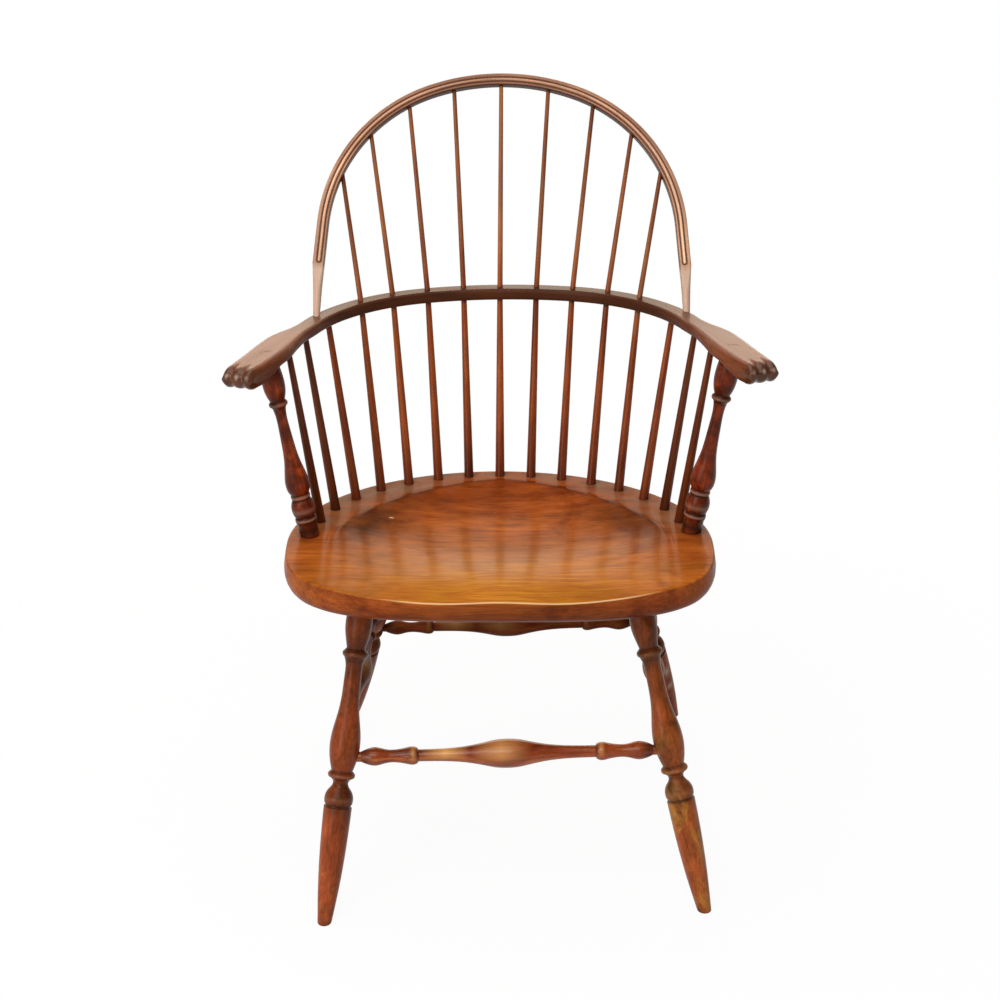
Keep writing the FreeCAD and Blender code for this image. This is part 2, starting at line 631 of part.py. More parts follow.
# Back hoop
def hoop_section(run):
    """The hoop's section: a rounded bar with two scratched grooves that leave a bead on its front."""
    half, deep = HOOP_FACE / 2, HOOP_DEPTH / 2
    bead, groove = HOOP_BEAD / 2, HOOP_BEAD / 2 + HOOP_GROOVE
    ease = HOOP_EDGE_ROUND
    turn = ease * (1 - math.sqrt(0.5))
    at = lambda inward, forward: hoop_place(1, run, inward, forward)
    line = lambda *places: Part.LineSegment(*places).toShape()
    arc = lambda *places: Part.Arc(*places).toShape()
    edges = [
        arc(at(-bead, deep), at(0, deep + HOOP_BEAD_RISE), at(bead, deep)),
        arc(at(bead, deep), at((bead + groove) / 2, deep - HOOP_GROOVE_DEPTH), at(groove, deep)),
        arc(at(groove, deep), at(half - turn, deep - turn), at(half, deep - ease)),
        line(at(half, deep - ease), at(half, -deep + ease)),
        arc(at(half, -deep + ease), at(half - turn, -deep + turn), at(half - ease, -deep)),
        line(at(half - ease, -deep), at(-half + ease, -deep)),
        arc(at(-half + ease, -deep), at(-half + turn, -deep + turn), at(-half, -deep + ease)),
        line(at(-half, -deep + ease), at(-half, deep - ease)),
        arc(at(-half, deep - ease), at(-half + turn, deep - turn), at(-groove, deep)),
        arc(at(-groove, deep), at(-(bead + groove) / 2, deep - HOOP_GROOVE_DEPTH), at(-bead, deep)),
    ]
    return Part.Wire(edges)


def hoop_straight_run():
    """How far round the hoop's middle line its beaded bar ends and the shaved end begins."""
    top_turn = math.radians(HOOP_TOP_TURN)
    side_turn = math.radians(HOOP_SIDE_TURN)
    arcs = HOOP_TOP_RADIUS * top_turn + HOOP_SIDE_RADIUS * (side_turn - top_turn)
    drop = HOOP_TOP_RADIUS * (1 - math.cos(top_turn))
    drop += HOOP_SIDE_RADIUS * (math.cos(top_turn) - math.cos(side_turn))
    straight = HOOP_HEIGHT - drop - HOOP_SHAVED_LENGTH
    return arcs, arcs + straight / math.sin(side_turn)


def hoop_end(side, grow):
    """A shaved round end, from the beaded bar down through the arm rail."""
    _, last = hoop_straight_run()
    upper = hoop_place(side, last, 0.0, 0.0)
    foot = leaning(side * HOOP_FOOT_X, 0.0, 0.0)
    down = unit(foot - upper)
    through = ARM_THICK / math.cos(math.radians(HOOP_TILT))
    taper = rod(upper - down * HOOP_END_LAP, foot, HOOP_FACE / 2 + grow, HOOP_END_RADIUS + grow)
    tenon = rod(foot, foot + down * (through + TRIM), HOOP_END_RADIUS + grow, HOOP_END_RADIUS + grow)
    return taper.fuse(tenon).common(fitted(slab(ARM_BOTTOM - grow * TRIM, ARM_TOP + HOOP_HEIGHT)))


def back_bow(tools):
    """The bent hoop: a beaded bar along a line, arcs and a line, with shaved ends and spindle sockets."""
    arcs, last = hoop_straight_run()
    top_run = HOOP_TOP_RADIUS * math.radians(HOOP_TOP_TURN)
    runs = [last, arcs, (arcs + top_run) / 2, top_run, 0.0]
    right = [hoop_place(1, run, 0.0, 0.0) for run in runs]
    left = [hoop_place(-1, run, 0.0, 0.0) for run in runs]
    path = Part.Wire([
        Part.LineSegment(right[0], right[1]).toShape(),
        Part.Arc(right[1], right[2], right[3]).toShape(),
        Part.Arc(right[3], right[4], left[3]).toShape(),
        Part.Arc(left[3], left[2], left[1]).toShape(),
        Part.LineSegment(left[1], left[0]).toShape(),
    ])
    bar = path.makePipeShell([hoop_section(last)], True, False)
    return bar.fuse([hoop_end(-1, 0.0), hoop_end(1, 0.0)]).cut(tools).removeSplitter()


# The chair, piece by piece
pieces = {}
long_steps = range(-LONG_PAIRS, LONG_PAIRS + 1)
short_counts = range(1, SHORT_PAIRS + 1)
spindle_tools = {}
for number, step in enumerate(long_steps, 1):
    pieces[f"long_spindle_{number}"] = spindle(step, 0.0)
    spindle_tools[step] = spindle(step, GLUE_GAP)
for name, side in (("left", -1), ("right", 1)):
    for count in short_counts:
        step = side * (LONG_PAIRS + count)
        pieces[f"short_spindle_{name}_{count}"] = spindle(step, 0.0)
        spindle_tools[step] = spindle(step, GLUE_GAP)
    pieces[f"arm_post_{name}"] = arm_post(side)
    pieces[f"hand_side_{name}"] = arm_frame(side, hand_side())
    pieces[f"hand_under_{name}"] = arm_frame(side, hand_under())
pieces["arm_post_wedges"] = Part.makeCompound([wedge(-1), wedge(1)])
for name in LEGS:
    pieces[name] = leg(name)
for name in STRETCHERS:
    pieces[name] = stretcher(name)

post_tools = [tenon for side in (-1, 1) for tenon in post_tenons(side, GLUE_GAP)]
leg_tools = [leg_tenon(name, GLUE_GAP) for name in LEGS]
all_spindles = list(spindle_tools.values())
pieces["seat"] = seat_blank().cut(all_spindles + post_tools[0::2] + leg_tools)
hoop_tools = [hoop_end(side, GLUE_GAP) for side in (-1, 1)]
pieces["arm_bow"] = arm_bow(all_spindles + post_tools[1::2] + hoop_tools)
pieces["back_bow"] = back_bow([spindle_tools[step] for step in long_steps])

# Move the chair so that the middle of its footprint is the origin, and write each piece.
extent = Part.makeCompound(list(pieces.values())).optimalBoundingBox()
shift = Vector(-extent.Center.x, -extent.Center.y, -extent.ZMin)
print("moved by", shift, "size", extent.XLength, extent.YLength, extent.ZLength)
os.makedirs("parts", exist_ok=True)
for name, shape in pieces.items():
    shape.translate(shift)
    solids = len(shape.Solids)
    print(f"{name}: valid {shape.isValid()}, solids {solids}, volume {shape.Volume / 1000:.1f} cm3")
    shape.exportStep(f"parts/{name}.step")
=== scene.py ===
import bmesh
import bpy
import math
from mathutils import Matrix, Vector


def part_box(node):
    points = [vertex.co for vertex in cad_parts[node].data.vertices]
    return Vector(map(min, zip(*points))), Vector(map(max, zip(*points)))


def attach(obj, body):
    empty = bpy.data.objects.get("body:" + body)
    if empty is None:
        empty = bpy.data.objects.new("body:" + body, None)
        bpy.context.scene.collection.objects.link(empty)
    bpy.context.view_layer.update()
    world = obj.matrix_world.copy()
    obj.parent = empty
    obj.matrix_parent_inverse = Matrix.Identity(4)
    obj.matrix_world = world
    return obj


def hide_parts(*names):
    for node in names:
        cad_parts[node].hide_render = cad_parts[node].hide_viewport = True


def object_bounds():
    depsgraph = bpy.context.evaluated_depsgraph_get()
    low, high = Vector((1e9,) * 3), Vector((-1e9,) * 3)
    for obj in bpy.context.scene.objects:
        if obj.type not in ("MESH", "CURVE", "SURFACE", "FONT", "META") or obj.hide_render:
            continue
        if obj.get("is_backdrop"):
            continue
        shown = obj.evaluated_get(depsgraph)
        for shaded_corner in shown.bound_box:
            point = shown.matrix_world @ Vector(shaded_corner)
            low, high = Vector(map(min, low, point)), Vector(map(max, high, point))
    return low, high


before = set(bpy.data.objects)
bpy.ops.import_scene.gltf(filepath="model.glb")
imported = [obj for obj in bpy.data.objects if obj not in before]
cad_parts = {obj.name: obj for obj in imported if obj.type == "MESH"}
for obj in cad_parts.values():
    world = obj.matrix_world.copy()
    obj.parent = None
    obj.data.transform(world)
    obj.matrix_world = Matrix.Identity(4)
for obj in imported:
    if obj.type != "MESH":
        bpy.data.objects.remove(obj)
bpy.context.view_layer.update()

# Seat: one thick hardwood plank, sawn to a shovel shape, undercut all round and hollowed into a saddle
# that stops at a soft ridge in front of the spindles. Its grain runs from side to side. It is stained,
# varnished, and worn to a golden tone where people sit.
seat_low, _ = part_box("seat")
seat_front_y = -0.197
middle_y = seat_low.y - seat_front_y
seat_top = 0.4365
seat_floor = 0.392
seat_points = 240
seat_half_width = 0.272
seat_widest_y = -0.030
seat_front_reach = 0.167
seat_rear_reach = 0.226
seat_front_power = 3.3
seat_side = [(0.0, 0.030), (0.004, 0.017), (0.009, 0.008), (0.016, 0.0026), (0.024, 0.0003), (0.033, 0.0),
             (0.040, 0.0010), (0.0445, 0.0040)]
saddle_half_width = 0.218
saddle_reach = 0.197
saddle_power = 1.6
saddle_depth = 0.016
front_start_y = -0.015
front_reach = 0.182
front_rise, front_rise_end = 0.75, 0.70
front_roll, front_roll_start = 0.30, 0.55
thigh_ridge_rise = 0.0034
thigh_ridge_half = 0.055
scratch_deep = 0.0003


def between(table, value):
    """Read a table of (place, size) pairs at a place between them."""
    for (low, first), (high, last) in zip(table, table[1:]):
        if value <= high:
            share = max(value - low, 0.0) / (high - low)
            return first + (last - first) * share
    return table[-1][1]


def ease(value, low, high):
    """Go smoothly from 0 at low to 1 at high."""
    share = min(max((value - low) / (high - low), 0.0), 1.0)
    return share * share * (3 - 2 * share)


def seat_rim():
    """The plan of the plank at its widest, as equal steps of (place, direction outwards)."""
    fine = []
    fine_steps = seat_points * 30
    for step in range(fine_steps):
        angle = 2 * math.pi * step / fine_steps
        side, along = math.cos(angle), math.sin(angle)
        power = 1.0 if along >= 0 else 2 / seat_front_power
        reach = seat_rear_reach if along >= 0 else seat_front_reach
        x = math.copysign(abs(side) ** power, side) * seat_half_width
        y = math.copysign(abs(along) ** power, along) * reach
        fine.append(Vector((x, seat_widest_y + y)))
    lengths = [0.0]
    for here, there in zip(fine, fine[1:] + fine[:1]):
        lengths.append(lengths[-1] + (there - here).length)
    rim, step = [], 0
    for point in range(seat_points):
        goal = lengths[-1] * point / seat_points
        while lengths[step + 1] < goal:
            step += 1
        rim.append(fine[step])
    outwards = []
    for point in range(seat_points):
        along = rim[(point + 1) % seat_points] - rim[point - 1]
        outwards.append(Vector((along.y, -along.x)).normalized())
    return list(zip(rim, outwards))


def saddle_share(x, y):
    """How far out a place is in the saddle: 0 in its middle and 1 at the ridge round it."""
    behind = max(y - seat_widest_y, 0.0) / saddle_reach
    return ((abs(x) / saddle_half_width) ** saddle_power + behind ** saddle_power) ** (1 / saddle_power)


def saddle_height(x, y):
    """Height of the top: the hollow runs out over the front edge on both sides of a low ridge."""
    share = saddle_share(x, y)
    front = max(front_start_y - y, 0.0) / front_reach
    fade = 1 - front_rise * ease(front, 0.0, front_rise_end)
    roll = front_roll * (max(front - front_roll_start, 0.0) / (1 - front_roll_start)) ** 2
    border = 1.15 + 0.75 * (1 - ease(y, -0.07, 0.02))
    hollow = saddle_depth * (1 - min(share, 1.0) ** 2.8) ** border * (fade + roll)
    ridge = thigh_ridge_rise * math.exp(-((x / thigh_ridge_half) ** 2)) * min(front, 1.2) ** 2
    scratch = scratch_deep * math.exp(-(((share - 1.005) / 0.012) ** 2)) * ease(y, -0.07, 0.0)
    return seat_top - hollow + ridge - scratch


def on_top_of_seat(spot):
    """A place in plan, brought to the height of the top."""
    return Vector((spot.x, spot.y, saddle_height(spot.x, spot.y)))


def seat_rings():
    """Rings of points from the underside, up the side, over the edge and in to the middle of the top."""
    rim = seat_rim()
    middle = Vector((0.0, seat_widest_y))
    edges, borders = [], []
    for place, outwards in rim:
        soft = 0.0022 + 0.0022 * ease(place.y, -0.15, -0.02)
        high = saddle_height(place.x, place.y)
        inset = between(seat_side, high - soft - seat_floor)
        edges.append((place, outwards, soft, high, inset))
        ray = place - middle
        if ray.y > 0:
            borders.append(middle + ray / saddle_share(place.x, place.y))
        else:
            borders.append(middle + ray * (saddle_half_width / seat_half_width))
    rings = []
    for share in (0.0, 0.05, 0.1, 0.16, 0.24, 0.34, 0.46, 0.6, 0.78, 1.0):
        ring = []
        for place, outwards, soft, high, inset in edges:
            rise = share * (high - soft - seat_floor)
            spot = place - outwards * between(seat_side, rise)
            ring.append(Vector((spot.x, spot.y, seat_floor + rise)))
        rings.append(ring)
    for turn in (15, 30, 45, 60, 75):
        ring = []
        for place, outwards, soft, high, inset in edges:
            spot = place - outwards * (inset + soft * (1 - math.cos(math.radians(turn))))
            over = saddle_height(spot.x, spot.y) - soft * (1 - math.sin(math.radians(turn)))
            ring.append(Vector((spot.x, spot.y, over)))
        rings.append(ring)
    starts = [place - outwards * (inset + soft) for place, outwards, soft, high, inset in edges]
    for share in (0.0, 0.1, 0.22, 0.36, 0.5, 0.64, 0.78, 0.88, 0.93, 0.965, 0.985, 1.0):
        spots = [start.lerp(border, share) for start, border in zip(starts, borders)]
        rings.append([on_top_of_seat(spot) for spot in spots])
    for share in [0.988, 0.975, 0.955, 0.93] + [0.90 - 0.03 * step for step in range(30)] + [0.0]:
        spots = [middle + (border - middle) * share for border in borders]
        rings.append([on_top_of_seat(spot) for spot in spots])
    # Each point carries its saddle share, a mask for painted shade in the rear corners of the hollow, and a
    # mask for the pale front edge, which is partly wear and partly painted highlight.
    shade_and_wear_marks = []
    side_rings, worn_highlight_rings = 10, (11, 12, 13)
    for number, ring in enumerate(rings):
        on_edge = 1.0 if number in worn_highlight_rings else 0.0
        marks = []
        for spot in ring:
            share = saddle_share(spot.x, spot.y) if number >= side_rings else 2.0
            side_share = 1.0 if spot.x < 0 else 0.7
            shaded_corner = side_share * ease(abs(spot.x), 0.08, 0.18) * ease(spot.y, -0.10, 0.04)
            edge = on_edge * (1 - ease(abs(spot.x - 0.025), 0.12, 0.18)) * (1 - ease(spot.y, -0.16, -0.10))
            marks.append(Vector((share, shaded_corner, edge)))
        shade_and_wear_marks.append(marks)
    rings = [[Vector((spot.x, spot.y + middle_y, spot.z)) for spot in ring] for ring in rings]
    return rings, shade_and_wear_marks


def draw_rings(name, rings, grains):
    """Start from a circle of points and pull it from ring to ring. Each point carries its grain."""
    bpy.ops.object.select_all(action="DESELECT")
    bpy.ops.mesh.primitive_circle_add(vertices=len(rings[0]), radius=0.1, fill_type="NOTHING")
    piece = bpy.context.object
    piece.name = piece.data.name = name
    bpy.ops.object.mode_set(mode="EDIT")
    mesh = bmesh.from_edit_mesh(piece.data)
    place = mesh.verts.layers.int.new("place")
    first = mesh.verts.layers.int.new("first")
    grain = mesh.verts.layers.float_vector.new("grain")
    mesh.verts.ensure_lookup_table()
    for number, point in enumerate(mesh.verts):
        point[place] = number
        point[first] = 1
    for count, ring in enumerate(rings):
        if count:
            bpy.ops.mesh.extrude_region_move()
            mesh = bmesh.from_edit_mesh(piece.data)
            place = mesh.verts.layers.int["place"]
            first = mesh.verts.layers.int["first"]
            grain = mesh.verts.layers.float_vector["grain"]
        mesh.verts.ensure_lookup_table()
        for point in mesh.verts[len(mesh.verts) - len(ring):]:
            point.co = ring[point[place]]
            point[first] = 0 if count else 1
            point[grain] = grains[count][point[place]]
    bpy.ops.mesh.edge_face_add()
    bpy.ops.mesh.select_all(action="DESELECT")
    mesh = bmesh.from_edit_mesh(piece.data)
    first = mesh.verts.layers.int["first"]
    for point in mesh.verts:
        point.select_set(point[first] == 1)
    mesh.select_flush(True)
    bpy.ops.mesh.edge_face_add()
    bpy.ops.mesh.select_all(action="SELECT")
    bpy.ops.mesh.remove_doubles(threshold=0.00001)
    bpy.ops.mesh.normals_make_consistent(inside=False)
    bpy.ops.object.mode_set(mode="OBJECT")
    bpy.ops.object.transform_apply(location=True, rotation=True, scale=True)
    bpy.ops.object.shade_smooth_by_angle(angle=math.radians(50))
    return piece


def feed(tree, node, values):
    """Give inputs of a node another node's output, a number, a place or a colour."""
    for name, value in values.items():
        socket = node.inputs[name]
        if isinstance(value, bpy.types.NodeSocket):
            tree.links.new(value, socket)
        elif socket.type == "RGBA":
            socket.default_value = (*value, 1.0)
        else:
            socket.default_value = value


def add_node(tree, kind, output, values=None, **settings):
    """Add a node with its settings, feed its inputs and return one of its outputs."""
    node = tree.nodes.new("ShaderNode" + kind)
    for name, setting in settings.items():
        setattr(node, name, setting)
    feed(tree, node, values or {})
    return node.outputs[output]


def add_ramp(tree, value, stops):
    """Add a node that gives colours along a value."""
    node = tree.nodes.new("ShaderNodeValToRGB")
    points = node.color_ramp.elements
    while len(points) < len(stops):
        points.new(1.0)
    for point, (position, colour) in zip(points, stops):
        point.position = position
        point.color = (*colour, 1.0)
    tree.links.new(value, node.inputs["Fac"])
    return node.outputs["Color"]


def add_mix(tree, over, under, share, way="MIX"):
    """Add a node that lays one colour over another. Its colours are the inputs 6 and 7 and the output 2."""
    return add_node(tree, "Mix", 2, {0: share, 6: under, 7: over}, data_type="RGBA", blend_type=way)


class Finish:
    """Stained wood under old varnish, its grain along a line through the piece."""

    def __init__(self, name, start, end, dark, middle, bright, variety=0.0, follows=None):
        self.material = bpy.data.materials.new(name)
        self.material.use_nodes = True
        self.tree = self.material.node_tree
        self.variety = variety
        self.length = (Vector(end) - Vector(start)).length
        if follows:
            self.place = self.carried(follows)
        else:
            turn = (Vector(end) - Vector(start)).rotation_difference(Vector((1, 0, 0)))
            self.place = self.add("Mapping", "Vector", {
                "Vector": self.add("TexCoord", "Object"),
                "Rotation": turn.to_euler(),
                "Location": -(turn @ Vector(start)),
            })
        streaks = self.cloud((3.0, 38, 38), detail=5.0, rough=0.60, swirl=1.1)
        tone = self.ramp(streaks, [(0.28, dark), (0.50, middle), (0.74, bright)])
        blotches = self.cloud((7, 22, 22), detail=3.0, rough=0.55, swirl=0.8)
        patchy = self.greys(blotches, [(0.36, 0.75), (0.62, 1.08)])
        tone = self.mix(patchy, tone, 1.0, "MULTIPLY")
        self.fine = self.cloud((14, 620, 620), detail=3.0, rough=0.6)
        pores = self.greys(self.fine, [(0.34, 0.58), (0.50, 1.0), (0.75, 1.12)])
        self.tone = self.mix(pores, tone, 0.75, "MULTIPLY")
        self.rough = self.greys(blotches, [(0.3, 0.30), (0.7, 0.42)])

    def add(self, kind, output, values=None, **settings):
        """Add a node to this finish."""
        return add_node(self.tree, kind, output, values, **settings)

    def carried(self, layer):
        """What the piece's points carry."""
        return self.add("Attribute", "Vector", attribute_name=layer)

    def cloud(self, scale, detail=3.0, rough=0.5, swirl=0.0, shift=0.0):
        """Soft noise, stretched along the grain."""
        apart = self.variety
        shifts = (apart * 7.3 + shift, apart * 3.1, apart)
        place = self.add("Mapping", "Vector", {"Vector": self.place, "Scale": scale, "Location": shifts})
        return self.add("TexNoise", "Fac", {"Vector": place, "Scale": 1.0, "Detail": detail,
                                            "Roughness": rough, "Distortion": swirl})

    def ramp(self, value, stops):
        """Colours along a value."""
        return add_ramp(self.tree, value, stops)

    def greys(self, value, stops):
        """Greys along a value, for a mask or to darken and lighten."""
        return self.ramp(value, [(position, (grey, grey, grey)) for position, grey in stops])

    def mix(self, over, under, share, way="MIX"):
        """Lay one colour over another. The share is a number or another node's value."""
        return add_mix(self.tree, over, under, share, way)

    def lay(self, colour, share):
        """Lay a colour over the tone so far."""
        self.tone = self.mix(colour, self.tone, share)

    def tint(self, colour, share=1.0):
        """Multiply the tone so far by a colour."""
        self.tone = self.mix(colour, self.tone, share, "MULTIPLY")

    def combine(self, first, second, way="MULTIPLY"):
        """Arithmetic on two values."""
        return self.add("Math", "Value", {0: first, 1: second}, operation=way, use_clamp=way == "MULTIPLY")

    def part(self, way, layer=None):
        """One coordinate of the place in the piece's own frame, or one value that its points carry."""
        return self.add("SeparateXYZ", way, {"Vector": self.carried(layer) if layer else self.place})

    def along(self):
        """The share of the piece's length, from 0 at its start to 1 at its end."""
        return self.combine(self.part("X"), self.length, "DIVIDE")

    def step(self, value, none, full):
        """0 up to one value, 1 from the other on, and even in between. Either may be the larger."""
        return self.add("MapRange", "Result", {"Value": value, "From Min": none, "From Max": full})

    def marks(self, places, whole=1.0):
        """Soft bands across the piece at places out of a whole, each with a half width and a strength."""
        stops = []
        for place, half, strength in sorted(places):
            band = ((place - half, 0.0), (place, strength), (place + half, 0.0))
            stops += [(spot / whole, grey) for spot, grey in band]
        return self.greys(self.along(), stops)

    def spot(self, middle, reach, fall="QUADRATIC_SPHERE"):
        """1 at a place in the piece's own frame, fading to 0 at the reach along each way."""
        scale = [1 / size for size in reach]
        shift = [-place / size for place, size in zip(middle, reach)]
        place = self.add("Mapping", "Vector", {"Vector": self.place, "Scale": scale, "Location": shift})
        return self.add("TexGradient", "Fac", {"Vector": place}, gradient_type=fall)

    def mottle(self, size, light, share, dark=(0.52, 0.52, 0.52), long=3.0):
        """Uneven stain in dark and light flecks of a size across the grain, some times as long along it."""
        scale = (1 / size / long, 1 / size, 1 / size)
        flecks = self.cloud(scale, detail=4.0, rough=0.62, swirl=0.6, shift=5.0)
        flecks = self.ramp(flecks, [(0.36, dark), (0.50, (1.0, 1.0, 1.0)), (0.66, light)])
        self.tint(flecks, share)

    def grime_and_shade(self, colour, distance, strength):
        """Dark grime and painted shade laid into the recesses, where ambient occlusion finds them."""
        hollow = self.add("AmbientOcclusion", "AO", {"Distance": distance}, samples=8)
        self.lay(colour, self.greys(hollow, [(0.35, strength), (0.88, 0.0)]))

    def done(self, gloss=0.14, coat=0.10, coat_rough=0.16, bump=0.12):
        """Wire up the colour, the gloss and the fine relief of the grain."""
        relief = self.add("Bump", "Normal", {"Height": self.fine, "Strength": bump, "Distance": 0.0004})
        feed(self.tree, self.tree.nodes["Principled BSDF"], {
            "Base Color": self.tone,
            "Roughness": self.rough,
            "Normal": relief,
            "Specular IOR Level": gloss,
            "Specular Tint": (1.0, 0.82, 0.66),
            "Coat Weight": coat,
            "Coat Roughness": coat_rough,
        })
        return self.material


# Dark brown for grime and painted shade in recesses.
grime_and_shade_brown = (0.030, 0.012, 0.006)
seat_finish = Finish("seat_finish", (0, middle_y, 0), (1, middle_y, 0),
                     (0.35, 0.070, 0.010), (0.43, 0.097, 0.012), (0.50, 0.134, 0.018))
lines = seat_finish.cloud((18, 230, 230), detail=5.0, rough=0.66, swirl=0.7, shift=2.0)
lines_seen = seat_finish.step(lines, 0.62, 0.40)
lines = seat_finish.greys(lines, [(0.36, 0.66), (0.50, 1.0), (0.70, 1.14)])
seat_finish.tint(lines, 0.6)
seat_finish.mottle(0.030, (1.16, 1.24, 1.2), 0.45)
patches = seat_finish.cloud((9, 13, 13), detail=5.0, rough=0.68, swirl=1.4, shift=4.0)
patches = seat_finish.ramp(patches, [(0.36, (0.62, 0.52, 0.50)), (0.50, (1.0, 1.0, 1.0)),
                                     (0.66, (1.12, 1.22, 1.2))])
seat_finish.tint(patches, 0.8)
on_side = seat_finish.step(seat_finish.part("X", "grain"), 1.35, 1.6)
on_top = seat_finish.combine(1.0, on_side, "SUBTRACT")
golden = seat_finish.spot((0.0, -0.150, 0.43), (0.28, 0.15, 0.3), "SPHERICAL")
golden = seat_finish.combine(seat_finish.combine(golden, 0.95), on_top)
between_lines = seat_finish.combine(1.0, lines_seen, "SUBTRACT")
gold = seat_finish.mix((0.62, 0.245, 0.013), (0.44, 0.125, 0.009), between_lines)
seat_finish.lay(gold, golden)
# Painted shade: the side of the plank is darker than its top.
seat_finish.tint((0.90, 0.82, 0.98), on_side)
# Painted shade: the lower part of the side is darker, fading out towards the ears.
low_side_shade = seat_finish.step(seat_finish.part("Z"), seat_floor + 0.036, seat_floor + 0.012)
low_side_shade = seat_finish.combine(on_side, low_side_shade)
from_middle = seat_finish.combine(seat_finish.part("X"), 0.0, "ABSOLUTE")
low_side_shade = seat_finish.combine(low_side_shade, seat_finish.step(from_middle, 0.25, 0.17))
seat_finish.tint((0.62, 0.55, 0.57), low_side_shade)
# Painted light: the left part of the side is lighter.
left_side_light = seat_finish.combine(on_side, seat_finish.step(seat_finish.part("X"), -0.17, -0.25))
seat_finish.tint((1.15, 1.32, 1.7), left_side_light)
hollow_middle = seat_finish.spot((0.0, -0.02, 0.43), (0.30, 0.085, 0.3), "SPHERICAL")
seat_finish.tint((0.93, 0.94, 0.88), hollow_middle)
right_ear = seat_finish.spot((0.215, -0.03, 0.43), (0.09, 0.10, 0.2))
seat_finish.tint((0.84, 0.74, 0.86), right_ear)
rear = seat_finish.step(seat_finish.part("Y"), 0.0, 0.11)
seat_finish.tint((0.76, 0.62, 0.60), rear)
half_share = seat_finish.combine(seat_finish.part("X", "grain"), 0.5)
# Painted shade on the steep wall of the hollow near its rim, in the rear corners, most on the left.
hollow_wall_shade = seat_finish.greys(half_share, [(0.25, 0.0), (0.43, 1.0), (0.48, 0.7), (0.505, 0.0)])
hollow_wall_shade = seat_finish.combine(hollow_wall_shade, seat_finish.part("Y", "grain"))
seat_finish.tint((0.24, 0.25, 0.33), hollow_wall_shade)
border = seat_finish.greys(half_share, [(0.475, 0.0), (0.492, 1.0), (0.500, 1.0), (0.508, 0.0)])
behind = seat_finish.step(seat_finish.part("Y"), -0.02, 0.03)
deck = seat_finish.greys(half_share, [(0.505, 0.0), (0.52, 1.0), (0.66, 1.0), (0.70, 0.0)])
# A greyish tone on the deck behind the hollow, partly dust and partly a painted sheen.
dust_and_sheen = seat_finish.cloud((30, 30, 30), detail=4.0, rough=0.65, swirl=0.8, shift=7.0)
deck = seat_finish.combine(deck, behind)
dust_and_sheen = seat_finish.combine(deck, seat_finish.step(dust_and_sheen, 0.30, 0.75))
seat_finish.lay((0.25, 0.128, 0.070), dust_and_sheen)
# Painted shade: a thin dark line along the crease at the rim of the hollow, on its rear part.
border = seat_finish.combine(seat_finish.combine(border, behind), 0.7)
seat_finish.tint((0.34, 0.34, 0.40), border)
scratch = seat_finish.spot((-0.142, 0.050, 0.42), (0.005, 0.0022, 0.1))
seat_finish.lay((0.75, 0.50, 0.35), seat_finish.combine(scratch, 2.5))
# Dark grime and painted shade in the recesses.
seat_finish.grime_and_shade(grime_and_shade_brown, 0.010, 0.85)
# A pale line along the front top edge: partly wear and partly a painted highlight.
worn_edge_highlight = seat_finish.combine(seat_finish.part("Z", "grain"), 0.7)
seat_finish.lay((0.85, 0.58, 0.32), worn_edge_highlight)
rings, shade_and_wear_marks = seat_rings()
seat = draw_rings("seat_plank", rings, shade_and_wear_marks)
dulled = seat_finish.combine(1.0, seat_finish.combine(deck, 0.75), "SUBTRACT")
polish = seat_finish.combine(dulled, 0.16)
seat.data.materials.append(seat_finish.done(gloss=0.02, coat=polish, coat_rough=0.14))
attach(seat, "root")
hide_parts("seat")

# Legs: four baluster turnings of hardwood, with a ring, a vase, a cove and a ball above a long tapered
# foot. Each is tenoned into the underside of the seat. The turned recesses are darkened with grime and
# painted shade, the ring crests carry painted highlights, and the upper part under the seat is darkened as
# painted shade.
legs = {
    "leg_front_left": ((-0.222, -0.240), (-0.172, -0.105)),
    "leg_front_right": ((0.261, -0.213), (0.172, -0.105)),
    "leg_rear_left": ((-0.220, 0.298), (-0.143, 0.115)),
    "leg_rear_right": ((0.2585, 0.285), (0.156, 0.115)),
}
leg_recess_grime_and_shade = [(0.1435, 0.0024, 0.95), (0.1705, 0.004, 0.45), (0.1765, 0.002, 0.5), (0.1845, 0.003, 0.65),
                (0.3175, 0.004, 0.55), (0.3315, 0.003, 0.55), (0.386, 0.008, 0.6)]
leg_stains = [(0.160, 0.032, 1.0), (0.325, 0.032, 1.0)]
leg_crest_highlights = [(0.152, 0.004, 0.2), (0.180, 0.0022, 0.35), (0.325, 0.0025, 0.3)]
faint_gold = [(0.58, 0.0), (0.74, 0.40)]
strong_gold = [(0.50, 0.0), (0.68, 0.70)]
leg_gold = {name: strong_gold if name == "leg_front_right" else faint_gold for name in legs}
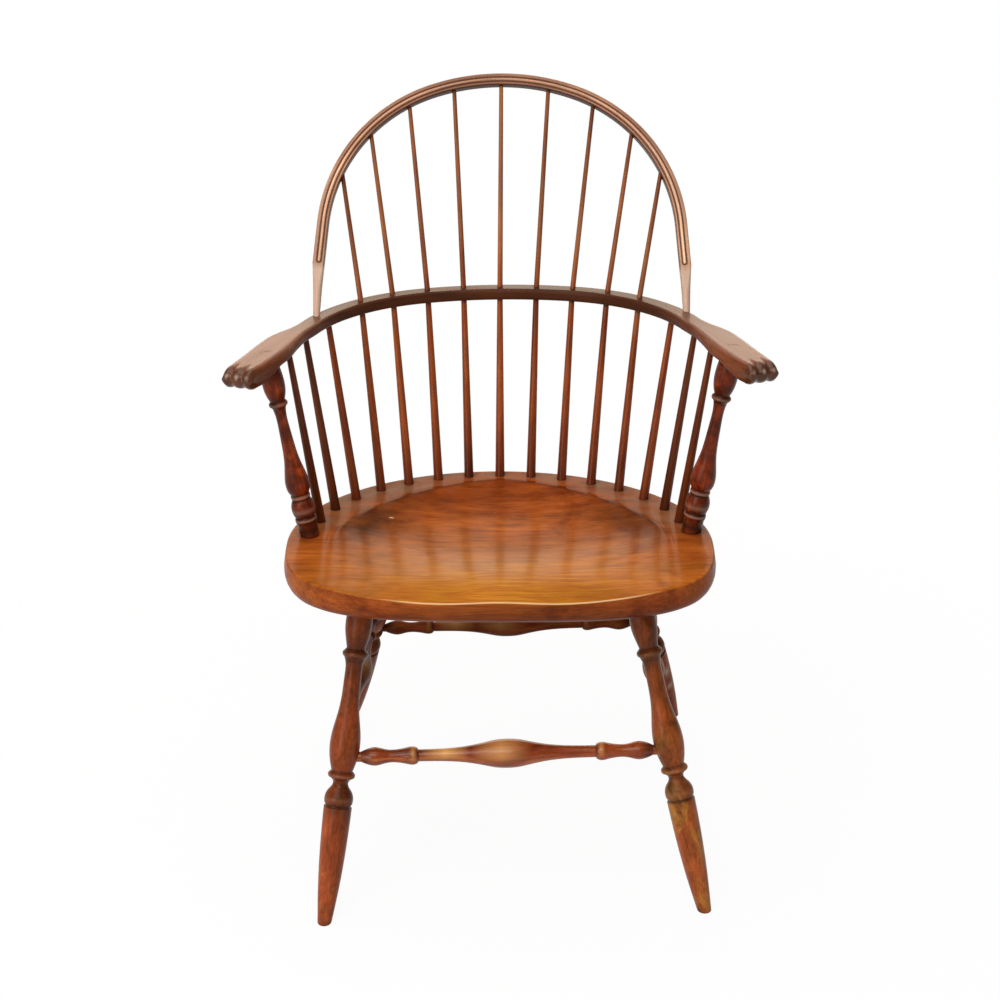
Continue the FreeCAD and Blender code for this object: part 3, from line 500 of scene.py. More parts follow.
for number, (name, (foot, top)) in enumerate(legs.items(), 1):
    start = Vector((foot[0], foot[1] + middle_y, 0.0))
    end = Vector((top[0], top[1] + middle_y, seat_floor))
    finish = Finish(name + "_finish", start, end,
                    (0.27, 0.046, 0.012), (0.35, 0.066, 0.016), (0.43, 0.099, 0.025), variety=number)
    finish.mottle(0.026, (1.30, 1.30, 1.3), 0.8, dark=(0.48, 0.58, 0.60), long=1.6)
    finish.mottle(0.005, (1.25, 1.3, 1.4), 0.45, long=1.5)
    gold = finish.cloud((16, 34, 34), detail=5.0, rough=0.66, swirl=0.9, shift=9.0)
    gold = finish.greys(gold, leg_gold[name])
    gold = finish.combine(gold, finish.step(finish.along(), 0.62, 0.36))
    finish.lay((0.58, 0.24, 0.045), gold)
    finish.tint((0.50, 0.58, 0.66), finish.marks(leg_stains, seat_floor))
    # Dark grime and painted shade in the turned recesses.
    finish.lay(grime_and_shade_brown, finish.marks(leg_recess_grime_and_shade, seat_floor))
    # Painted highlights on the ring crests.
    finish.lay((0.42, 0.19, 0.10), finish.marks(leg_crest_highlights, seat_floor))
    if name == "leg_front_right":
        finish.tint((1.03, 1.17, 1.02))
    # Two pale spots on the rear right leg, partly wear and partly painted highlights.
    if name == "leg_rear_right":
        turn = (end - start).rotation_difference(Vector((1, 0, 0)))
        for share, reach in ((0.27, 0.020), (0.19, 0.012)):
            rubbed_highlight_at = turn @ (start.lerp(end, share) + Vector((0.011, -0.013, 0.0)) - start)
            rubbed_and_highlight = finish.combine(finish.spot(rubbed_highlight_at, (reach, 0.010, 0.010)), 1.3)
            finish.lay((0.60, 0.40, 0.27), rubbed_and_highlight)
    # Painted shade: the upper part of the leg, under the seat, is darker.
    finish.tint((0.64, 0.66, 0.66), finish.step(finish.along(), 0.44, 0.95))
    # Dark grime and painted shade in the recesses.
    finish.grime_and_shade(grime_and_shade_brown, 0.008, 0.75)
    gloss, coat = (0.05, 0.02) if "rear" in name else (0.14, 0.10)
    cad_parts[name].material_slots[0].material = finish.done(gloss=gloss, coat=coat)

# Stretchers: turned hardwood rods with a swelling in the middle, and a ring, a neck and a bulb near each
# end. They are socketed into the legs as a box, and the front one is worn pale on top by feet; the pale on
# top is partly that wear and partly painted highlights, and the undersides are darkened as painted shade.
stretchers = {
    "stretcher_front": ("leg_front_left", "leg_front_right", 0.201, 0.204),
    "stretcher_rear": ("leg_rear_left", "leg_rear_right", 0.184, 0.2015),
    "stretcher_left": ("leg_front_left", "leg_rear_left", 0.224, 0.220),
    "stretcher_right": ("leg_front_right", "leg_rear_right", 0.226, 0.224),
}


def leg_spot(name, height):
    """The place on a leg's middle line at a height."""
    foot, top = legs[name]
    share = height / seat_floor
    x = foot[0] + (top[0] - foot[0]) * share
    y = foot[1] + (top[1] - foot[1]) * share
    return Vector((x, y + middle_y, height))


def toned(tone, *colours):
    """The same colours, each part multiplied by a tone."""
    return [tuple(part * tone for part in colour) for colour in colours]


stretcher_half = 0.205
for number, (name, (first, last, first_height, last_height)) in enumerate(stretchers.items(), 5):
    tone = 1.0 if name == "stretcher_front" else 0.5
    *woods, pale = toned(tone, (0.19, 0.026, 0.007), (0.38, 0.070, 0.014), (0.64, 0.195, 0.044),
                         (0.84, 0.40, 0.125))
    finish = Finish(name + "_finish", leg_spot(first, first_height), leg_spot(last, last_height), *woods,
                    variety=number)
    finish.mottle(0.012, (1.2, 1.3, 1.4), 0.5)
    # Pale marks on the upper side: partly wear from feet and partly painted highlights.
    worn_and_highlight = finish.marks([(0.213, 0.012, 0.5), (0.31, 0.075, 0.95), (0.48, 0.09, 0.6), (0.787, 0.012, 0.5)])
    worn_and_highlight = finish.combine(worn_and_highlight, finish.step(finish.part("Z"), -0.006, 0.006))
    finish.lay(pale, worn_and_highlight)
    marks = []
    for side in (-1, 1):
        for place, half in ((0.1115, 0.006), (0.178, 0.03)):
            marks.append((0.5 + side * place / stretcher_half / 2, half, 0.8))
    finish.lay((0.06, 0.016, 0.008), finish.marks(marks))
    # Painted shade: the underside is darker.
    under = finish.step(finish.part("Z"), 0.001, -0.011)
    finish.tint((0.62, 0.44, 0.52), under)
    # Dark grime and painted shade in the recesses.
    finish.grime_and_shade(grime_and_shade_brown, 0.008, 0.75)
    gloss, coat = (0.16, 0.40) if name == "stretcher_front" else (0.05, 0.02)
    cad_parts[name].material_slots[0].material = finish.done(gloss=gloss, coat=coat)

# Arm posts: short hardwood turnings that echo the legs, tenoned into the seat and right through the arm
# rail. Their ring crests are painted pale as highlights, and their recesses dark with grime and painted
# shade.
post_pattern = 0.2482
posts = {
    "arm_post_left": ((-0.243, -0.015), (-0.2895, -0.005), 0.2482),
    "arm_post_right": ((0.2455, -0.003), (0.2890, 0.0023), 0.2547),
}
post_recess_grime_and_shade = [(0.008, 0.0125, 0.92), (0.027, 0.003, 0.9), (0.0505, 0.003, 0.8), (0.0585, 0.003, 0.7),
                 (0.1745, 0.003, 0.7), (0.184, 0.003, 0.75), (0.232, 0.012, 0.7)]
post_crest_highlights = [(0.0232, 0.0018, 0.6), (0.036, 0.0045, 0.35), (0.0545, 0.0022, 0.6), (0.1795, 0.0022, 0.4)]
for number, (name, (foot, top, post_height)) in enumerate(posts.items(), 9):
    start = Vector((foot[0], foot[1] + middle_y, seat_top))
    end = Vector((top[0], top[1] + middle_y, seat_top + post_height))
    finish = Finish(name + "_finish", start, end,
                    (0.065, 0.010, 0.004), (0.150, 0.020, 0.005), (0.36, 0.058, 0.008), variety=number)
    finish.mottle(0.016, (2.1, 2.1, 1.7), 0.85, long=1.3)
    # Dark grime and painted shade in the turned recesses.
    finish.lay(grime_and_shade_brown, finish.marks(post_recess_grime_and_shade, post_pattern))
    # Painted highlights on the ring crests.
    finish.lay((0.38, 0.25, 0.17), finish.marks(post_crest_highlights, post_pattern))
    # Dark grime and painted shade in the recesses.
    finish.grime_and_shade(grime_and_shade_brown, 0.008, 0.75)
    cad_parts[name].material_slots[0].material = finish.done()

# Arm rail: one strip of bent wood from hand to hand, fitted a little out of level, with pieces glued
# outside and below its ends. The ends are carved as one into hands with three knuckles. The upper side is
# smooth from wear, and painted pale, partly as that wear and partly as a painted sheen; the knuckles carry
# painted highlights.
arm_top = 0.68615
arm_thick = 0.01515
arm_half = 0.013
rail_edge, hand_edge = 0.0044, 0.0072
arm_back_y = 0.2375
arm_back_radius = 0.410
arm_back_turn = math.radians(13.8)
arm_corner_radius = 0.209
arm_corner_turn = math.radians(70.0)
arm_run = 0.195
arm_rise_right = math.radians(0.66)
arm_rise_front = math.radians(0.47)
arm_back_run = arm_back_radius * arm_back_turn
arm_bend_run = arm_back_run + arm_corner_radius * (arm_corner_turn - arm_back_turn)
hand_outline = [(0.006, 0.0130), (0.026, 0.0170), (0.046, 0.0240), (0.064, 0.0282), (0.094, 0.0288),
                (0.144, 0.0270), (0.195, 0.0270)]
hand_inner = [(0.0, 0.0), (0.030, -0.0012), (0.065, 0.0010), (0.095, 0.0034), (0.140, 0.0036),
              (0.195, 0.0010)]
hand_drop = [(0.120, 0.0), (0.131, 0.0016), (0.141, 0.0044), (0.151, 0.0076), (0.161, 0.0099),
             (0.171, 0.0111), (0.1817, 0.0115)]
hand_lean = [(0.040, 0.0), (0.075, 0.0034), (0.105, 0.0066), (0.138, 0.0054), (0.165, 0.0016), (0.190, 0.0)]
nose_length = 0.017
nose_radius = (arm_thick + hand_drop[-1][1]) / 2
knuckle_grooves = (-0.0005, 0.0140)
groove_cut, side_cut, most_cut = 0.13, 0.17, 0.6
carved_length = 0.045


def arm_fit():
    """How the rail sits: turned about the middle of its back, rising to the right and towards the hands."""
    middle = Vector((0.0, arm_back_y + middle_y, arm_top - arm_thick / 2))
    to_right = Matrix.Rotation(-arm_rise_right, 4, "Y")
    to_front = Matrix.Rotation(-arm_rise_front, 4, "X")
    return Matrix.Translation(middle) @ to_right @ to_front @ Matrix.Translation(-middle)


def smooth_between(table, value):
    """Read a table as a smooth curve through its places."""
    if value <= table[0][0]:
        return table[0][1]
    if value >= table[-1][0]:
        return table[-1][1]
    for number, ((low, first), (high, last)) in enumerate(zip(table, table[1:])):
        if value <= high:
            before = table[number - 1] if number else table[0]
            after = table[number + 2] if number + 2 < len(table) else table[-1]
            step = high - low
            leave = (last - before[1]) / (high - before[0]) * step
            arrive = (after[1] - first) / (after[0] - low) * step
            share = (value - low) / step
            square, cube = share ** 2, share ** 3
            return ((2 * cube - 3 * square + 1) * first + (cube - 2 * square + share) * leave
                    + (3 * square - 2 * cube) * last + (cube - square) * arrive)


def arm_spot(run, offset):
    """A place in plan on the right half of the rail: run along its middle line, offset outwards from it."""
    turn = min(run / arm_back_radius, arm_back_turn)
    x = (arm_back_radius + offset) * math.sin(turn)
    y = arm_back_y - arm_back_radius + (arm_back_radius + offset) * math.cos(turn)
    if run > arm_back_run:
        turn = min(arm_back_turn + (run - arm_back_run) / arm_corner_radius, arm_corner_turn)
        x += (arm_corner_radius + offset) * (math.sin(turn) - math.sin(arm_back_turn))
        y += (arm_corner_radius + offset) * (math.cos(turn) - math.cos(arm_back_turn))
    straight = max(run - arm_bend_run, 0.0)
    return Vector((x + straight * math.cos(turn), y - straight * math.sin(turn) + middle_y, 0.0))


def soft_bar(inner, outer, low, high, round_over, across, upright):
    """The outline of a bar with rounded edges, as (offset, height) points from the inner top edge round."""
    soft = min(round_over, (high - low) * 0.49, (outer - inner) * 0.49)
    corners = [(outer - soft, high - soft, 90, 0), (outer - soft, low + soft, 0, -90),
               (inner + soft, low + soft, -90, -180), (inner + soft, high - soft, -180, -270)]
    points = []
    steps = (upright, across, upright, across)
    for number, (x, z, begin, finish) in enumerate(corners):
        arc = []
        for step in range(6):
            turn = math.radians(begin + (finish - begin) * step / 5)
            arc.append((x + soft * math.cos(turn), z + soft * math.sin(turn)))
        points += arc
        next_x, next_z, next_begin, _ = corners[(number + 1) % 4]
        turn = math.radians(next_begin)
        goal = (next_x + soft * math.cos(turn), next_z + soft * math.sin(turn))
        for step in range(1, steps[number]):
            share = step / steps[number]
            points.append((arc[-1][0] + (goal[0] - arc[-1][0]) * share,
                           arc[-1][1] + (goal[1] - arc[-1][1]) * share))
    return points


def hand_carving(along, offset, height):
    """Carve the two grooves over the nose and round the outer knuckles off."""
    axis = arm_run - nose_length
    inner_side = max(0.0, 1 - (offset + arm_half) / 0.005) ** 2
    outer_side = max(0.0, 1 - (hand_outline[-1][1] - offset) / 0.006) ** 2
    middle = arm_top - nose_radius
    reach = 0.015 if height > middle else 0.010
    fade = ease(along, axis - reach, axis + 0.006)
    width = 0.0012 + 0.0026 * fade
    groove = sum(math.exp(-(((offset - place) / width) ** 2)) for place in knuckle_grooves)
    cut = min((groove_cut * groove + side_cut * (inner_side + outer_side)) * fade, most_cut)
    if along > axis:
        along = axis + (along - axis) * (1 - cut)
    return along, middle + (height - middle) * (1 - cut)


def arm_station(along_rail, nose_turn=0.0):
    """One ring of the right half of the rail, with its places along the grain."""
    along = along_rail - arm_bend_run
    inner = -arm_half - smooth_between(hand_inner, along)
    outer = smooth_between(hand_outline, along)
    low = arm_top - arm_thick - smooth_between(hand_drop, along)
    high = arm_top
    if nose_turn:
        squeeze = math.cos(nose_turn) if nose_turn < math.pi / 2 else 0.0
        middle = arm_top - nose_radius
        high = middle + nose_radius * squeeze
        low = middle - nose_radius * squeeze
    ring, grain = [], []
    edge = rail_edge + (hand_edge - rail_edge) * ease(along, 0.0, 0.09)
    lean = smooth_between(hand_lean, along)
    thick = max(high - low, 0.001)
    for offset, height in soft_bar(inner, outer, low, high, edge, 46, 5):
        run, carved = along_rail, height
        offset -= lean * ease(-offset, 0.004, -inner) * (high - height) / thick
        if along > arm_run - 0.06:
            run, carved = hand_carving(along, offset, height)
            run += arm_bend_run
        spot = arm_spot(run, offset)
        ring.append(Vector((spot.x, spot.y, carved)))
        grain.append(Vector((run, offset, carved)))
    return ring, grain


def arm_stations():
    """Rings from the left hand's nose, round the back, to the right hand's nose."""
    runs = [arm_bend_run * step / 40 for step in range(40)]
    runs += [arm_bend_run + (arm_run - carved_length) * step / 34 for step in range(34)]
    first_carved = arm_bend_run + arm_run - carved_length
    last_carved = arm_bend_run + arm_run - nose_length
    runs += [first_carved + (last_carved - first_carved) * step / 26 for step in range(27)]
    right = [arm_station(run) for run in runs]
    for step in range(1, 17):
        turn = math.pi / 2 * step / 16
        right.append(arm_station(last_carved + nose_length * math.sin(turn), turn))
    left = []
    for ring, grain in reversed(right[1:]):
        left.append(([Vector((-spot.x, spot.y, spot.z)) for spot in ring],
                     [Vector((-spot.x, spot.y, spot.z)) for spot in grain]))
    return left + right


stations = arm_stations()
arm_rings = [[arm_fit() @ spot for spot in ring] for ring, grain in stations]
arm_rail = draw_rings("arm_rail", arm_rings, [grain for ring, grain in stations])
arm_finish = Finish("arm_finish", (0, 0, 0), (1, 0, 0), (0.062, 0.018, 0.007), (0.088, 0.026, 0.010),
                    (0.118, 0.037, 0.014), variety=11, follows="grain")
far_out = arm_finish.combine(arm_finish.part("X"), 0.0, "ABSOLUTE")
near_hand = arm_finish.step(far_out, arm_bend_run - 0.06, arm_bend_run + 0.08)
arm_finish.tint((2.00, 1.80, 1.65), near_hand)
# The top is painted pale, partly as wear from hands and partly as a painted sheen, most towards the hands.
upper = arm_finish.step(arm_finish.part("Z"), arm_top - 0.0022, arm_top - 0.0002)
touched_and_sheen = arm_finish.step(far_out, 0.20, arm_bend_run + 0.06)
touched_and_sheen = arm_finish.combine(arm_finish.combine(touched_and_sheen, 0.90), 0.10, "ADD")
upper = arm_finish.combine(upper, touched_and_sheen)
rubbed_and_highlight = arm_finish.mix((1.335, 1.77, 2.68), arm_finish.tone, 1.0, "MULTIPLY")
rubbed_and_highlight = arm_finish.mix((0.34, 0.19, 0.15), rubbed_and_highlight, 0.22)
arm_finish.lay(rubbed_and_highlight, upper)
# Dark grime and painted shade in the recesses.
arm_finish.grime_and_shade(grime_and_shade_brown, 0.008, 0.85)
nose = arm_finish.step(far_out, arm_bend_run + arm_run - 0.020, arm_bend_run + arm_run - 0.008)
arm_finish.tint((0.60, 0.68, 0.74), nose)
# Painted highlights on the three knuckles of each hand.
for side in (-1, 1):
    for place, strength in ((-0.0065, 0.5), (0.0068, 0.85), (0.0200, 0.6)):
        rubbed_highlight_at = (side * (arm_bend_run + arm_run - 0.004), place, arm_top - 0.0085)
        knuckle_highlight = arm_finish.spot(rubbed_highlight_at, (0.008, 0.0042, 0.0050))
        knuckle_highlight = arm_finish.combine(knuckle_highlight, strength * 1.4)
        arm_finish.lay((0.58, 0.44, 0.34), knuckle_highlight)
polish = arm_finish.combine(arm_finish.combine(upper, 0.24), arm_finish.combine(nose, 0.45), "MAXIMUM")
arm_rail.data.materials.append(arm_finish.done(gloss=0.10, coat=polish, coat_rough=0.24))
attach(arm_rail, "root")
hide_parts("arm_bow", "hand_side_left", "hand_side_right", "hand_under_left", "hand_under_right")

# Wedges: a thin slip of hardwood driven into the end of each arm post, level with the arm and across its
# run, seen as a short dark line.
wedge_length = 0.0155
wedge_thick = 0.0016
wedge_depth = 0.012
wedge_proud = 0.00012
post_runs = {-1: arm_bend_run + 0.118, 1: arm_bend_run + 0.111}
post_offsets = {-1: 0.0035, 1: 0.0055}
bpy.ops.object.select_all(action="DESELECT")
bpy.ops.mesh.primitive_cube_add(size=1.0)
wedges = bpy.context.object
wedges.name = wedges.data.name = "wedges"
bpy.ops.object.mode_set(mode="EDIT")
bpy.ops.transform.resize(value=(wedge_length, wedge_thick, wedge_depth))
bpy.ops.transform.rotate(value=math.pi / 2 - arm_corner_turn, orient_axis="Z", center_override=(0, 0, 0))
right = arm_spot(post_runs[1], post_offsets[1])
left = arm_spot(post_runs[-1], post_offsets[-1])
bpy.ops.transform.translate(value=(right.x, right.y, arm_top + wedge_proud - wedge_depth / 2))
bpy.ops.mesh.duplicate()
bpy.ops.transform.mirror(constraint_axis=(True, False, False), center_override=(0, 0, 0))
bpy.ops.transform.translate(value=(right.x - left.x, left.y - right.y, 0.0))
bpy.ops.mesh.select_all(action="SELECT")
bpy.ops.mesh.bevel(offset=0.0002, segments=2)
bpy.ops.mesh.normals_make_consistent(inside=False)
bpy.ops.object.mode_set(mode="OBJECT")
wedges.data.transform(arm_fit())
wedge_finish = Finish("wedge_finish", (0, 0, 0), (0, 0, 1), (0.05, 0.018, 0.010), (0.09, 0.032, 0.018),
                      (0.15, 0.060, 0.034), variety=12)
wedges.data.materials.append(wedge_finish.done())
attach(wedges, "root")
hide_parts("arm_post_wedges")

# Spindles: whittled wooden rods, thickest where they stand in the seat. The long ones run up through the
# arm rail into the hoop, and the short ones stop in the arm rail. Each took the stain a little differently,
# and the second and third short ones on each side are darkened as painted shade.
# The second and third short spindles on each side are darkened as painted shade.
spindle_tones = [0.95, 1.0, 1.12, 0.9, 1.12, 0.86, 0.95, 1.05, 0.9, 1.1, 0.44, 0.55, 1.1, 0.50, 0.60]
spindle_names = [f"long_spindle_{number}" for number in range(1, 10)]
spindle_names += [f"short_spindle_{side}_{number}" for side in ("left", "right") for number in (1, 2, 3)]
for number, (name, tone) in enumerate(zip(spindle_names, spindle_tones), 13):
    low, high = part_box(name)
    leans_left = low.x + high.x < -0.02
    start_x, end_x = (high.x, low.x) if leans_left else (low.x, high.x)
    start = Vector((start_x, low.y, low.z))
    end = Vector((end_x, high.y, high.z))
    woods = toned(tone, (0.155, 0.029, 0.0075), (0.290, 0.058, 0.0125), (0.445, 0.114, 0.024))
    finish = Finish(name + "_finish", start, end, *woods, variety=number)
    finish.tint((0.50, 0.42, 0.45), finish.step(finish.along(), 0.22, 0.06))
    if name.startswith("long"):
        above_arm = finish.step(finish.along(), 0.48, 0.66)
        finish.tint((1.08, 1.66, 2.75), above_arm)
    # Dark grime and painted shade in the recesses.
    finish.grime_and_shade(grime_and_shade_brown, 0.006, 0.8)
    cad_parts[name].material_slots[0].material = finish.done()

# Hoop: a slim strip of bent wood with a bead between two scratched grooves on its front. Its ends are
# shaved round and stand in the arm rail.
hoop_tilt = math.radians(32.0)
hoop_settle = math.radians(0.4)
hoop_x = 0.002
hoop_foot = (0.239, 0.125)
hoop_base = 0.686
hoop_height = 0.314
hoop_top_radius = 0.2812
hoop_top_turn = math.radians(19.4)
hoop_side_radius = 0.210
hoop_side_turn = math.radians(84.9)
hoop_half_face = 0.0075
hoop_half_depth = 0.0074
hoop_edge = 0.0017
bead_in = 0.0008
bead_half = 0.0017
bead_rise = 0.0014
groove_wide = 0.0024
groove_deep = 0.0010
shaved_length = 0.064
hoop_end_radius = 0.0045
hoop_arcs = hoop_top_radius * hoop_top_turn + hoop_side_radius * (hoop_side_turn - hoop_top_turn)
hoop_drop = hoop_top_radius * (1 - math.cos(hoop_top_turn))
hoop_drop += hoop_side_radius * (math.cos(hoop_top_turn) - math.cos(hoop_side_turn))
hoop_last = hoop_arcs + (hoop_height - hoop_drop - shaved_length) / math.sin(hoop_side_turn)
bead_end = hoop_last - 0.004


def hoop_lean(x, rise, forward):
    """A place in the hoop's leaning plane."""
    y = hoop_foot[1] + rise * math.sin(hoop_tilt) - forward * math.cos(hoop_tilt)
    z = hoop_base + rise * math.cos(hoop_tilt) + forward * math.sin(hoop_tilt)
    return Vector((hoop_x + x, y + middle_y, z))


def hoop_spot(side, run, inward, forward):
    """A place on the hoop: run along its middle line from the top, then inward and forward."""
    turn = min(run / hoop_top_radius, hoop_top_turn)
    x = (hoop_top_radius - inward) * math.sin(turn)
    rise = hoop_height - hoop_top_radius + (hoop_top_radius - inward) * math.cos(turn)
    beyond = run - hoop_top_radius * hoop_top_turn
    if beyond > 0:
        turn = min(hoop_top_turn + beyond / hoop_side_radius, hoop_side_turn)
        x += (hoop_side_radius - inward) * (math.sin(turn) - math.sin(hoop_top_turn))
        rise += (hoop_side_radius - inward) * (math.cos(turn) - math.cos(hoop_top_turn))
        straight = max(beyond - hoop_side_radius * (hoop_side_turn - hoop_top_turn), 0.0)
        x += straight * math.cos(hoop_side_turn)
        rise -= straight * math.sin(hoop_side_turn)
    x *= side
    return hoop_lean(x * math.cos(hoop_settle) + rise * math.sin(hoop_settle),
                     rise * math.cos(hoop_settle) - x * math.sin(hoop_settle), forward)


def bead_relief(across, to_end):
    """How far the front stands out: a bead between two grooves that close round its end."""
    apart = abs(across - bead_in) if to_end > 0 else math.hypot(across - bead_in, to_end)
    if apart < bead_half:
        return bead_rise * math.sqrt(1 - (apart / bead_half) ** 2)
    if apart < bead_half + groove_wide:
        return -groove_deep * math.sin(math.pi * (apart - bead_half) / groove_wide)
    return 0.0


def hoop_outline(half_face, half_depth, soft, to_end):
    """The section as (inward, forward) points, round from the front's outer edge."""
    flat = half_face - soft
    points = []
    for step in range(37):
        across = flat * (step / 18 - 1)
        points.append((across, half_depth + bead_relief(across, to_end)))
    for begin, x, forward in ((90, flat, half_depth - soft), (0, flat, soft - half_depth),
                              (-90, -flat, soft - half_depth), (-180, -flat, half_depth - soft)):
        for step in range(1, 6):
            turn = math.radians(begin - 18 * step)
            if begin == -180 and step == 5:
                continue
            points.append((x + soft * math.cos(turn), forward + soft * math.sin(turn)))
    return points


def hoop_half(side):
    """Rings of one half of the hoop, from its top to inside the arm rail."""
    runs = [bead_end * step / 60 for step in range(58)]
    runs += [bead_end - 0.008 + 0.012 * step / 24 for step in range(25)]
    rings, grains = [], []
    for run in runs:
        outline = hoop_outline(hoop_half_face, hoop_half_depth, hoop_edge, bead_end - run)
        rings.append([hoop_spot(side, run, inward, forward) for inward, forward in outline])
        grains.append([Vector((side * run, inward, forward)) for inward, forward in outline])
    upper = hoop_spot(side, hoop_last, 0.0, 0.0)
    foot = hoop_lean(side * hoop_foot[0], 0.0, 0.0)
    inwards = (hoop_spot(side, hoop_last, 0.001, 0.0) - upper).normalized()
    forwards = (hoop_spot(side, hoop_last, 0.0, 0.001) - upper).normalized()
    for step in range(1, 25):
        share = step / 20
        slim = min(share, 1.0) ** 0.85
        half_face = hoop_half_face + (hoop_end_radius - hoop_half_face) * slim
        half_depth = hoop_half_depth + (hoop_end_radius - hoop_half_depth) * slim
        soft = hoop_edge + (min(half_face, half_depth) * 0.999 - hoop_edge) * ease(share, 0.0, 0.7)
        middle = upper.lerp(foot, share)
        outline = hoop_outline(half_face, half_depth, soft, -1.0)
        rings.append([middle + inwards * inward + forwards * forward for inward, forward in outline])
        run = hoop_last + shaved_length * share
        grains.append([Vector((side * run, inward, forward)) for inward, forward in outline])
    return rings, grains


right_rings, right_grains = hoop_half(1)
left_rings, left_grains = hoop_half(-1)
hoop = draw_rings("hoop", left_rings[:0:-1] + right_rings, left_grains[:0:-1] + right_grains)
hoop_finish = Finish("hoop_finish", (0, 0, 0), (1, 0, 0), (0.238, 0.096, 0.050), (0.37, 0.166, 0.091),
                     (0.49, 0.254, 0.142), variety=30, follows="grain")
far = hoop_finish.combine(hoop_finish.part("X"), 0.0, "ABSOLUTE")
paler = hoop_finish.step(far, 0.05, 0.42)
hoop_finish.tint((1.42, 1.61, 1.71), paler)
right_end = hoop_finish.step(hoop_finish.part("X"), 0.10, 0.42)
hoop_finish.tint((1.20, 1.26, 1.30), right_end)
# Painted shade: the inner face of the hoop is darker.
inner_face_shade = hoop_finish.step(hoop_finish.part("Y"), 0.0064, 0.0074)
hoop_finish.tint((0.26, 0.17, 0.12), inner_face_shade)
front_face = hoop_finish.step(hoop_finish.part("Z"), hoop_half_depth - 0.0019, hoop_half_depth - 0.0011)
beaded = hoop_finish.combine(front_face, hoop_finish.step(far, hoop_last + 0.004, hoop_last + 0.002))
across = hoop_finish.combine(hoop_finish.part("Y"), bead_in, "SUBTRACT")
beyond = hoop_finish.combine(hoop_finish.combine(far, bead_end, "SUBTRACT"), 0.0, "MAXIMUM")
apart = hoop_finish.combine(hoop_finish.combine(across, across), hoop_finish.combine(beyond, beyond), "ADD")
apart = hoop_finish.combine(hoop_finish.combine(apart, 0.5, "POWER"), hoop_half_face, "DIVIDE")
# Painted highlight: the bead on the front is lighter.
bead = hoop_finish.greys(apart, [(0.15, 1.0), (0.26, 0.0)])
bead = hoop_finish.combine(bead, beaded)
hoop_finish.tint((1.85, 2.10, 2.25), bead)
# Dark grime and painted shade in the two grooves.
groove = hoop_finish.greys(apart, [(0.21, 0.0), (0.31, 0.92), (0.45, 0.92), (0.56, 0.0)])
groove = hoop_finish.combine(groove, beaded)
hoop_finish.lay((0.105, 0.036, 0.018), groove)
shaved = hoop_finish.step(far, hoop_last - 0.001, hoop_last + 0.008)
hoop_finish.lay((0.60, 0.40, 0.29), hoop_finish.combine(shaved, 0.8))
outer_face = hoop_finish.step(hoop_finish.part("Y"), 0.0072, 0.0060)
polish = hoop_finish.combine(outer_face, 0.28)
hoop.data.materials.append(hoop_finish.done(gloss=0.06, coat=polish, coat_rough=0.24))
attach(hoop, "root")
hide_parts("back_bow")

# Studio: a pale floor that whitens away from the chair, under a white surround. A large soft lamp stands
# high in front, one hangs above, a weaker one fills from the left and a warm one behind glances off the
# arms. In a gloss the surround is warm behind the chair and dim in front of it.
def seen_rays(tree):
    """Two masks: what the camera sees straight, and what it sees straight or in a gloss."""
    rays = tree.nodes.new("ShaderNodeLightPath").outputs
    straight, glossy = rays["Is Camera Ray"], rays["Is Glossy Ray"]
    return straight, add_node(tree, "Math", "Value", {0: straight, 1: glossy}, operation="MAXIMUM")


bpy.ops.object.select_all(action="DESELECT")
bpy.ops.mesh.primitive_plane_add(size=60.0, location=(0, 0, 0))
floor = bpy.context.object
floor.name = "floor"
floor_finish = bpy.data.materials.new("pale_floor")
floor_finish.use_nodes = True
tree = floor_finish.node_tree
straight_ray, seen_ray = seen_rays(tree)
paint_tone = add_mix(tree, (0.90, 0.90, 0.90), (0.42, 0.42, 0.42), straight_ray)
paint = tree.nodes["Principled BSDF"]
feed(tree, paint, {"Base Color": paint_tone, "Roughness": 0.9, "Specular IOR Level": 0.0})
ground = add_node(tree, "TexCoord", "Object")
away = add_node(tree, "VectorMath", "Value", {0: ground}, operation="LENGTH")
spread = add_node(tree, "MapRange", "Result", {"Value": away, "From Min": 0.45, "From Max": 1.4,
                                               "To Min": 0.94, "To Max": 1.0})
whitened = add_node(tree, "Math", "Value", {0: seen_ray, 1: spread}, operation="MULTIPLY")
glow = add_node(tree, "Emission", "Emission", {"Strength": 1.0})
blend = add_node(tree, "MixShader", "Shader", {0: whitened, 1: paint.outputs["BSDF"], 2: glow})
feed(tree, tree.nodes["Material Output"], {"Surface": blend})
floor.data.materials.append(floor_finish)
floor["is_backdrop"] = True

world = bpy.data.worlds.new("surround")
bpy.context.scene.world = world
world.use_nodes = True
tree = world.node_tree
straight_ray, seen_ray = seen_rays(tree)
surround = tree.nodes["Background"]
feed(tree, surround, {"Color": (1.0, 1.0, 1.0), "Strength": 0.25})
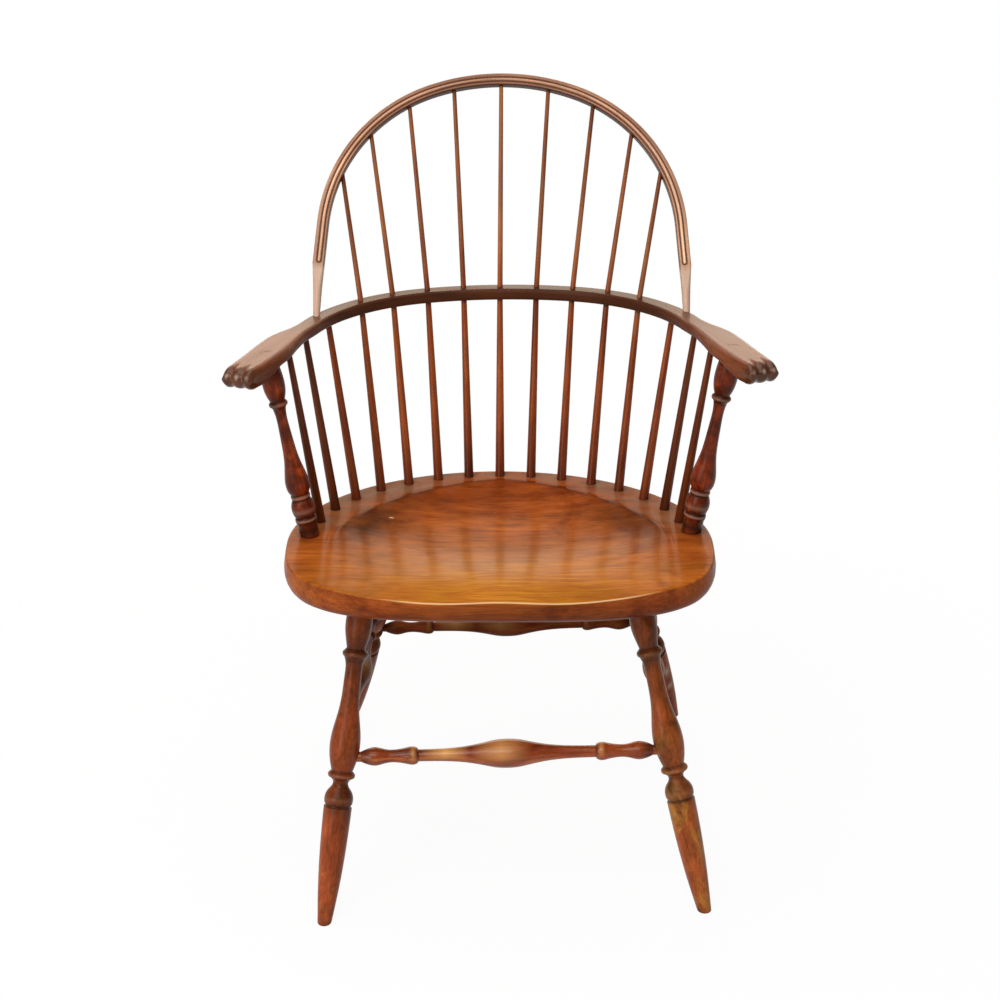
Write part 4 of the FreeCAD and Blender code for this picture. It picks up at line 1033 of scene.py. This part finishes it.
aim = add_node(tree, "TexCoord", "Generated")
behind_chair = add_node(tree, "VectorMath", "Value", {0: aim, 1: (0.0, 1.0, -0.55)}, operation="DOT_PRODUCT")
mirrored = add_ramp(tree, behind_chair, [(0.45, (0.15, 0.15, 0.15)), (0.75, (1.0, 0.89, 0.74))])
seen_colour = add_mix(tree, (1.0, 1.0, 1.0), mirrored, straight_ray)
backdrop = add_node(tree, "Background", "Background", {"Color": seen_colour, "Strength": 1.0})
blend = add_node(tree, "MixShader", "Shader", {0: seen_ray, 1: surround.outputs["Background"], 2: backdrop})
feed(tree, tree.nodes["World Output"], {"Surface": blend})

lamp_goal = Vector((0, 0, 0.5))
lamps = [
    ("key_light", (-0.8, -2.4, 2.9), (2.8, 1.6), 58.0, (1.0, 1.0, 1.0)),
    ("top_light", (-0.3, 0.1, 3.2), (2.4, 2.0), 40.0, (1.0, 1.0, 1.0)),
    ("fill_light", (-2.0, -2.7, 1.1), (1.6, 1.6), 32.0, (1.0, 1.0, 1.0)),
    ("back_light", (0.0, 2.7, 1.3), (3.0, 1.4), 28.0, (1.0, 0.84, 0.64)),
]
for name, place, size, power, colour in lamps:
    lamp = bpy.data.lights.new(name, "AREA")
    lamp.shape = "RECTANGLE"
    lamp.size, lamp.size_y = size
    lamp.energy = power
    lamp.color = colour
    light = bpy.data.objects.new(name, lamp)
    bpy.context.scene.collection.objects.link(light)
    light.location = place
    light.rotation_euler = (lamp_goal - Vector(place)).to_track_quat("-Z", "Y").to_euler()

# Camera: straight in front of the chair, above its back and looking down on the seat.
camera_data = bpy.data.cameras.new("camera")
camera = bpy.data.objects.new("camera", camera_data)
bpy.context.scene.collection.objects.link(camera)
camera_down = 23.755
camera.location = (0.0, -2.389 + middle_y, 1.538)
camera.rotation_euler = (math.radians(90 - camera_down), 0.0, 0.0)
camera_data.sensor_width = 36.0
camera_data.lens = 73.68
camera_data.shift_y = -0.0059
bpy.context.scene.camera = camera
bpy.context.scene.view_settings.view_transform = "Standard"

low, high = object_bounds()
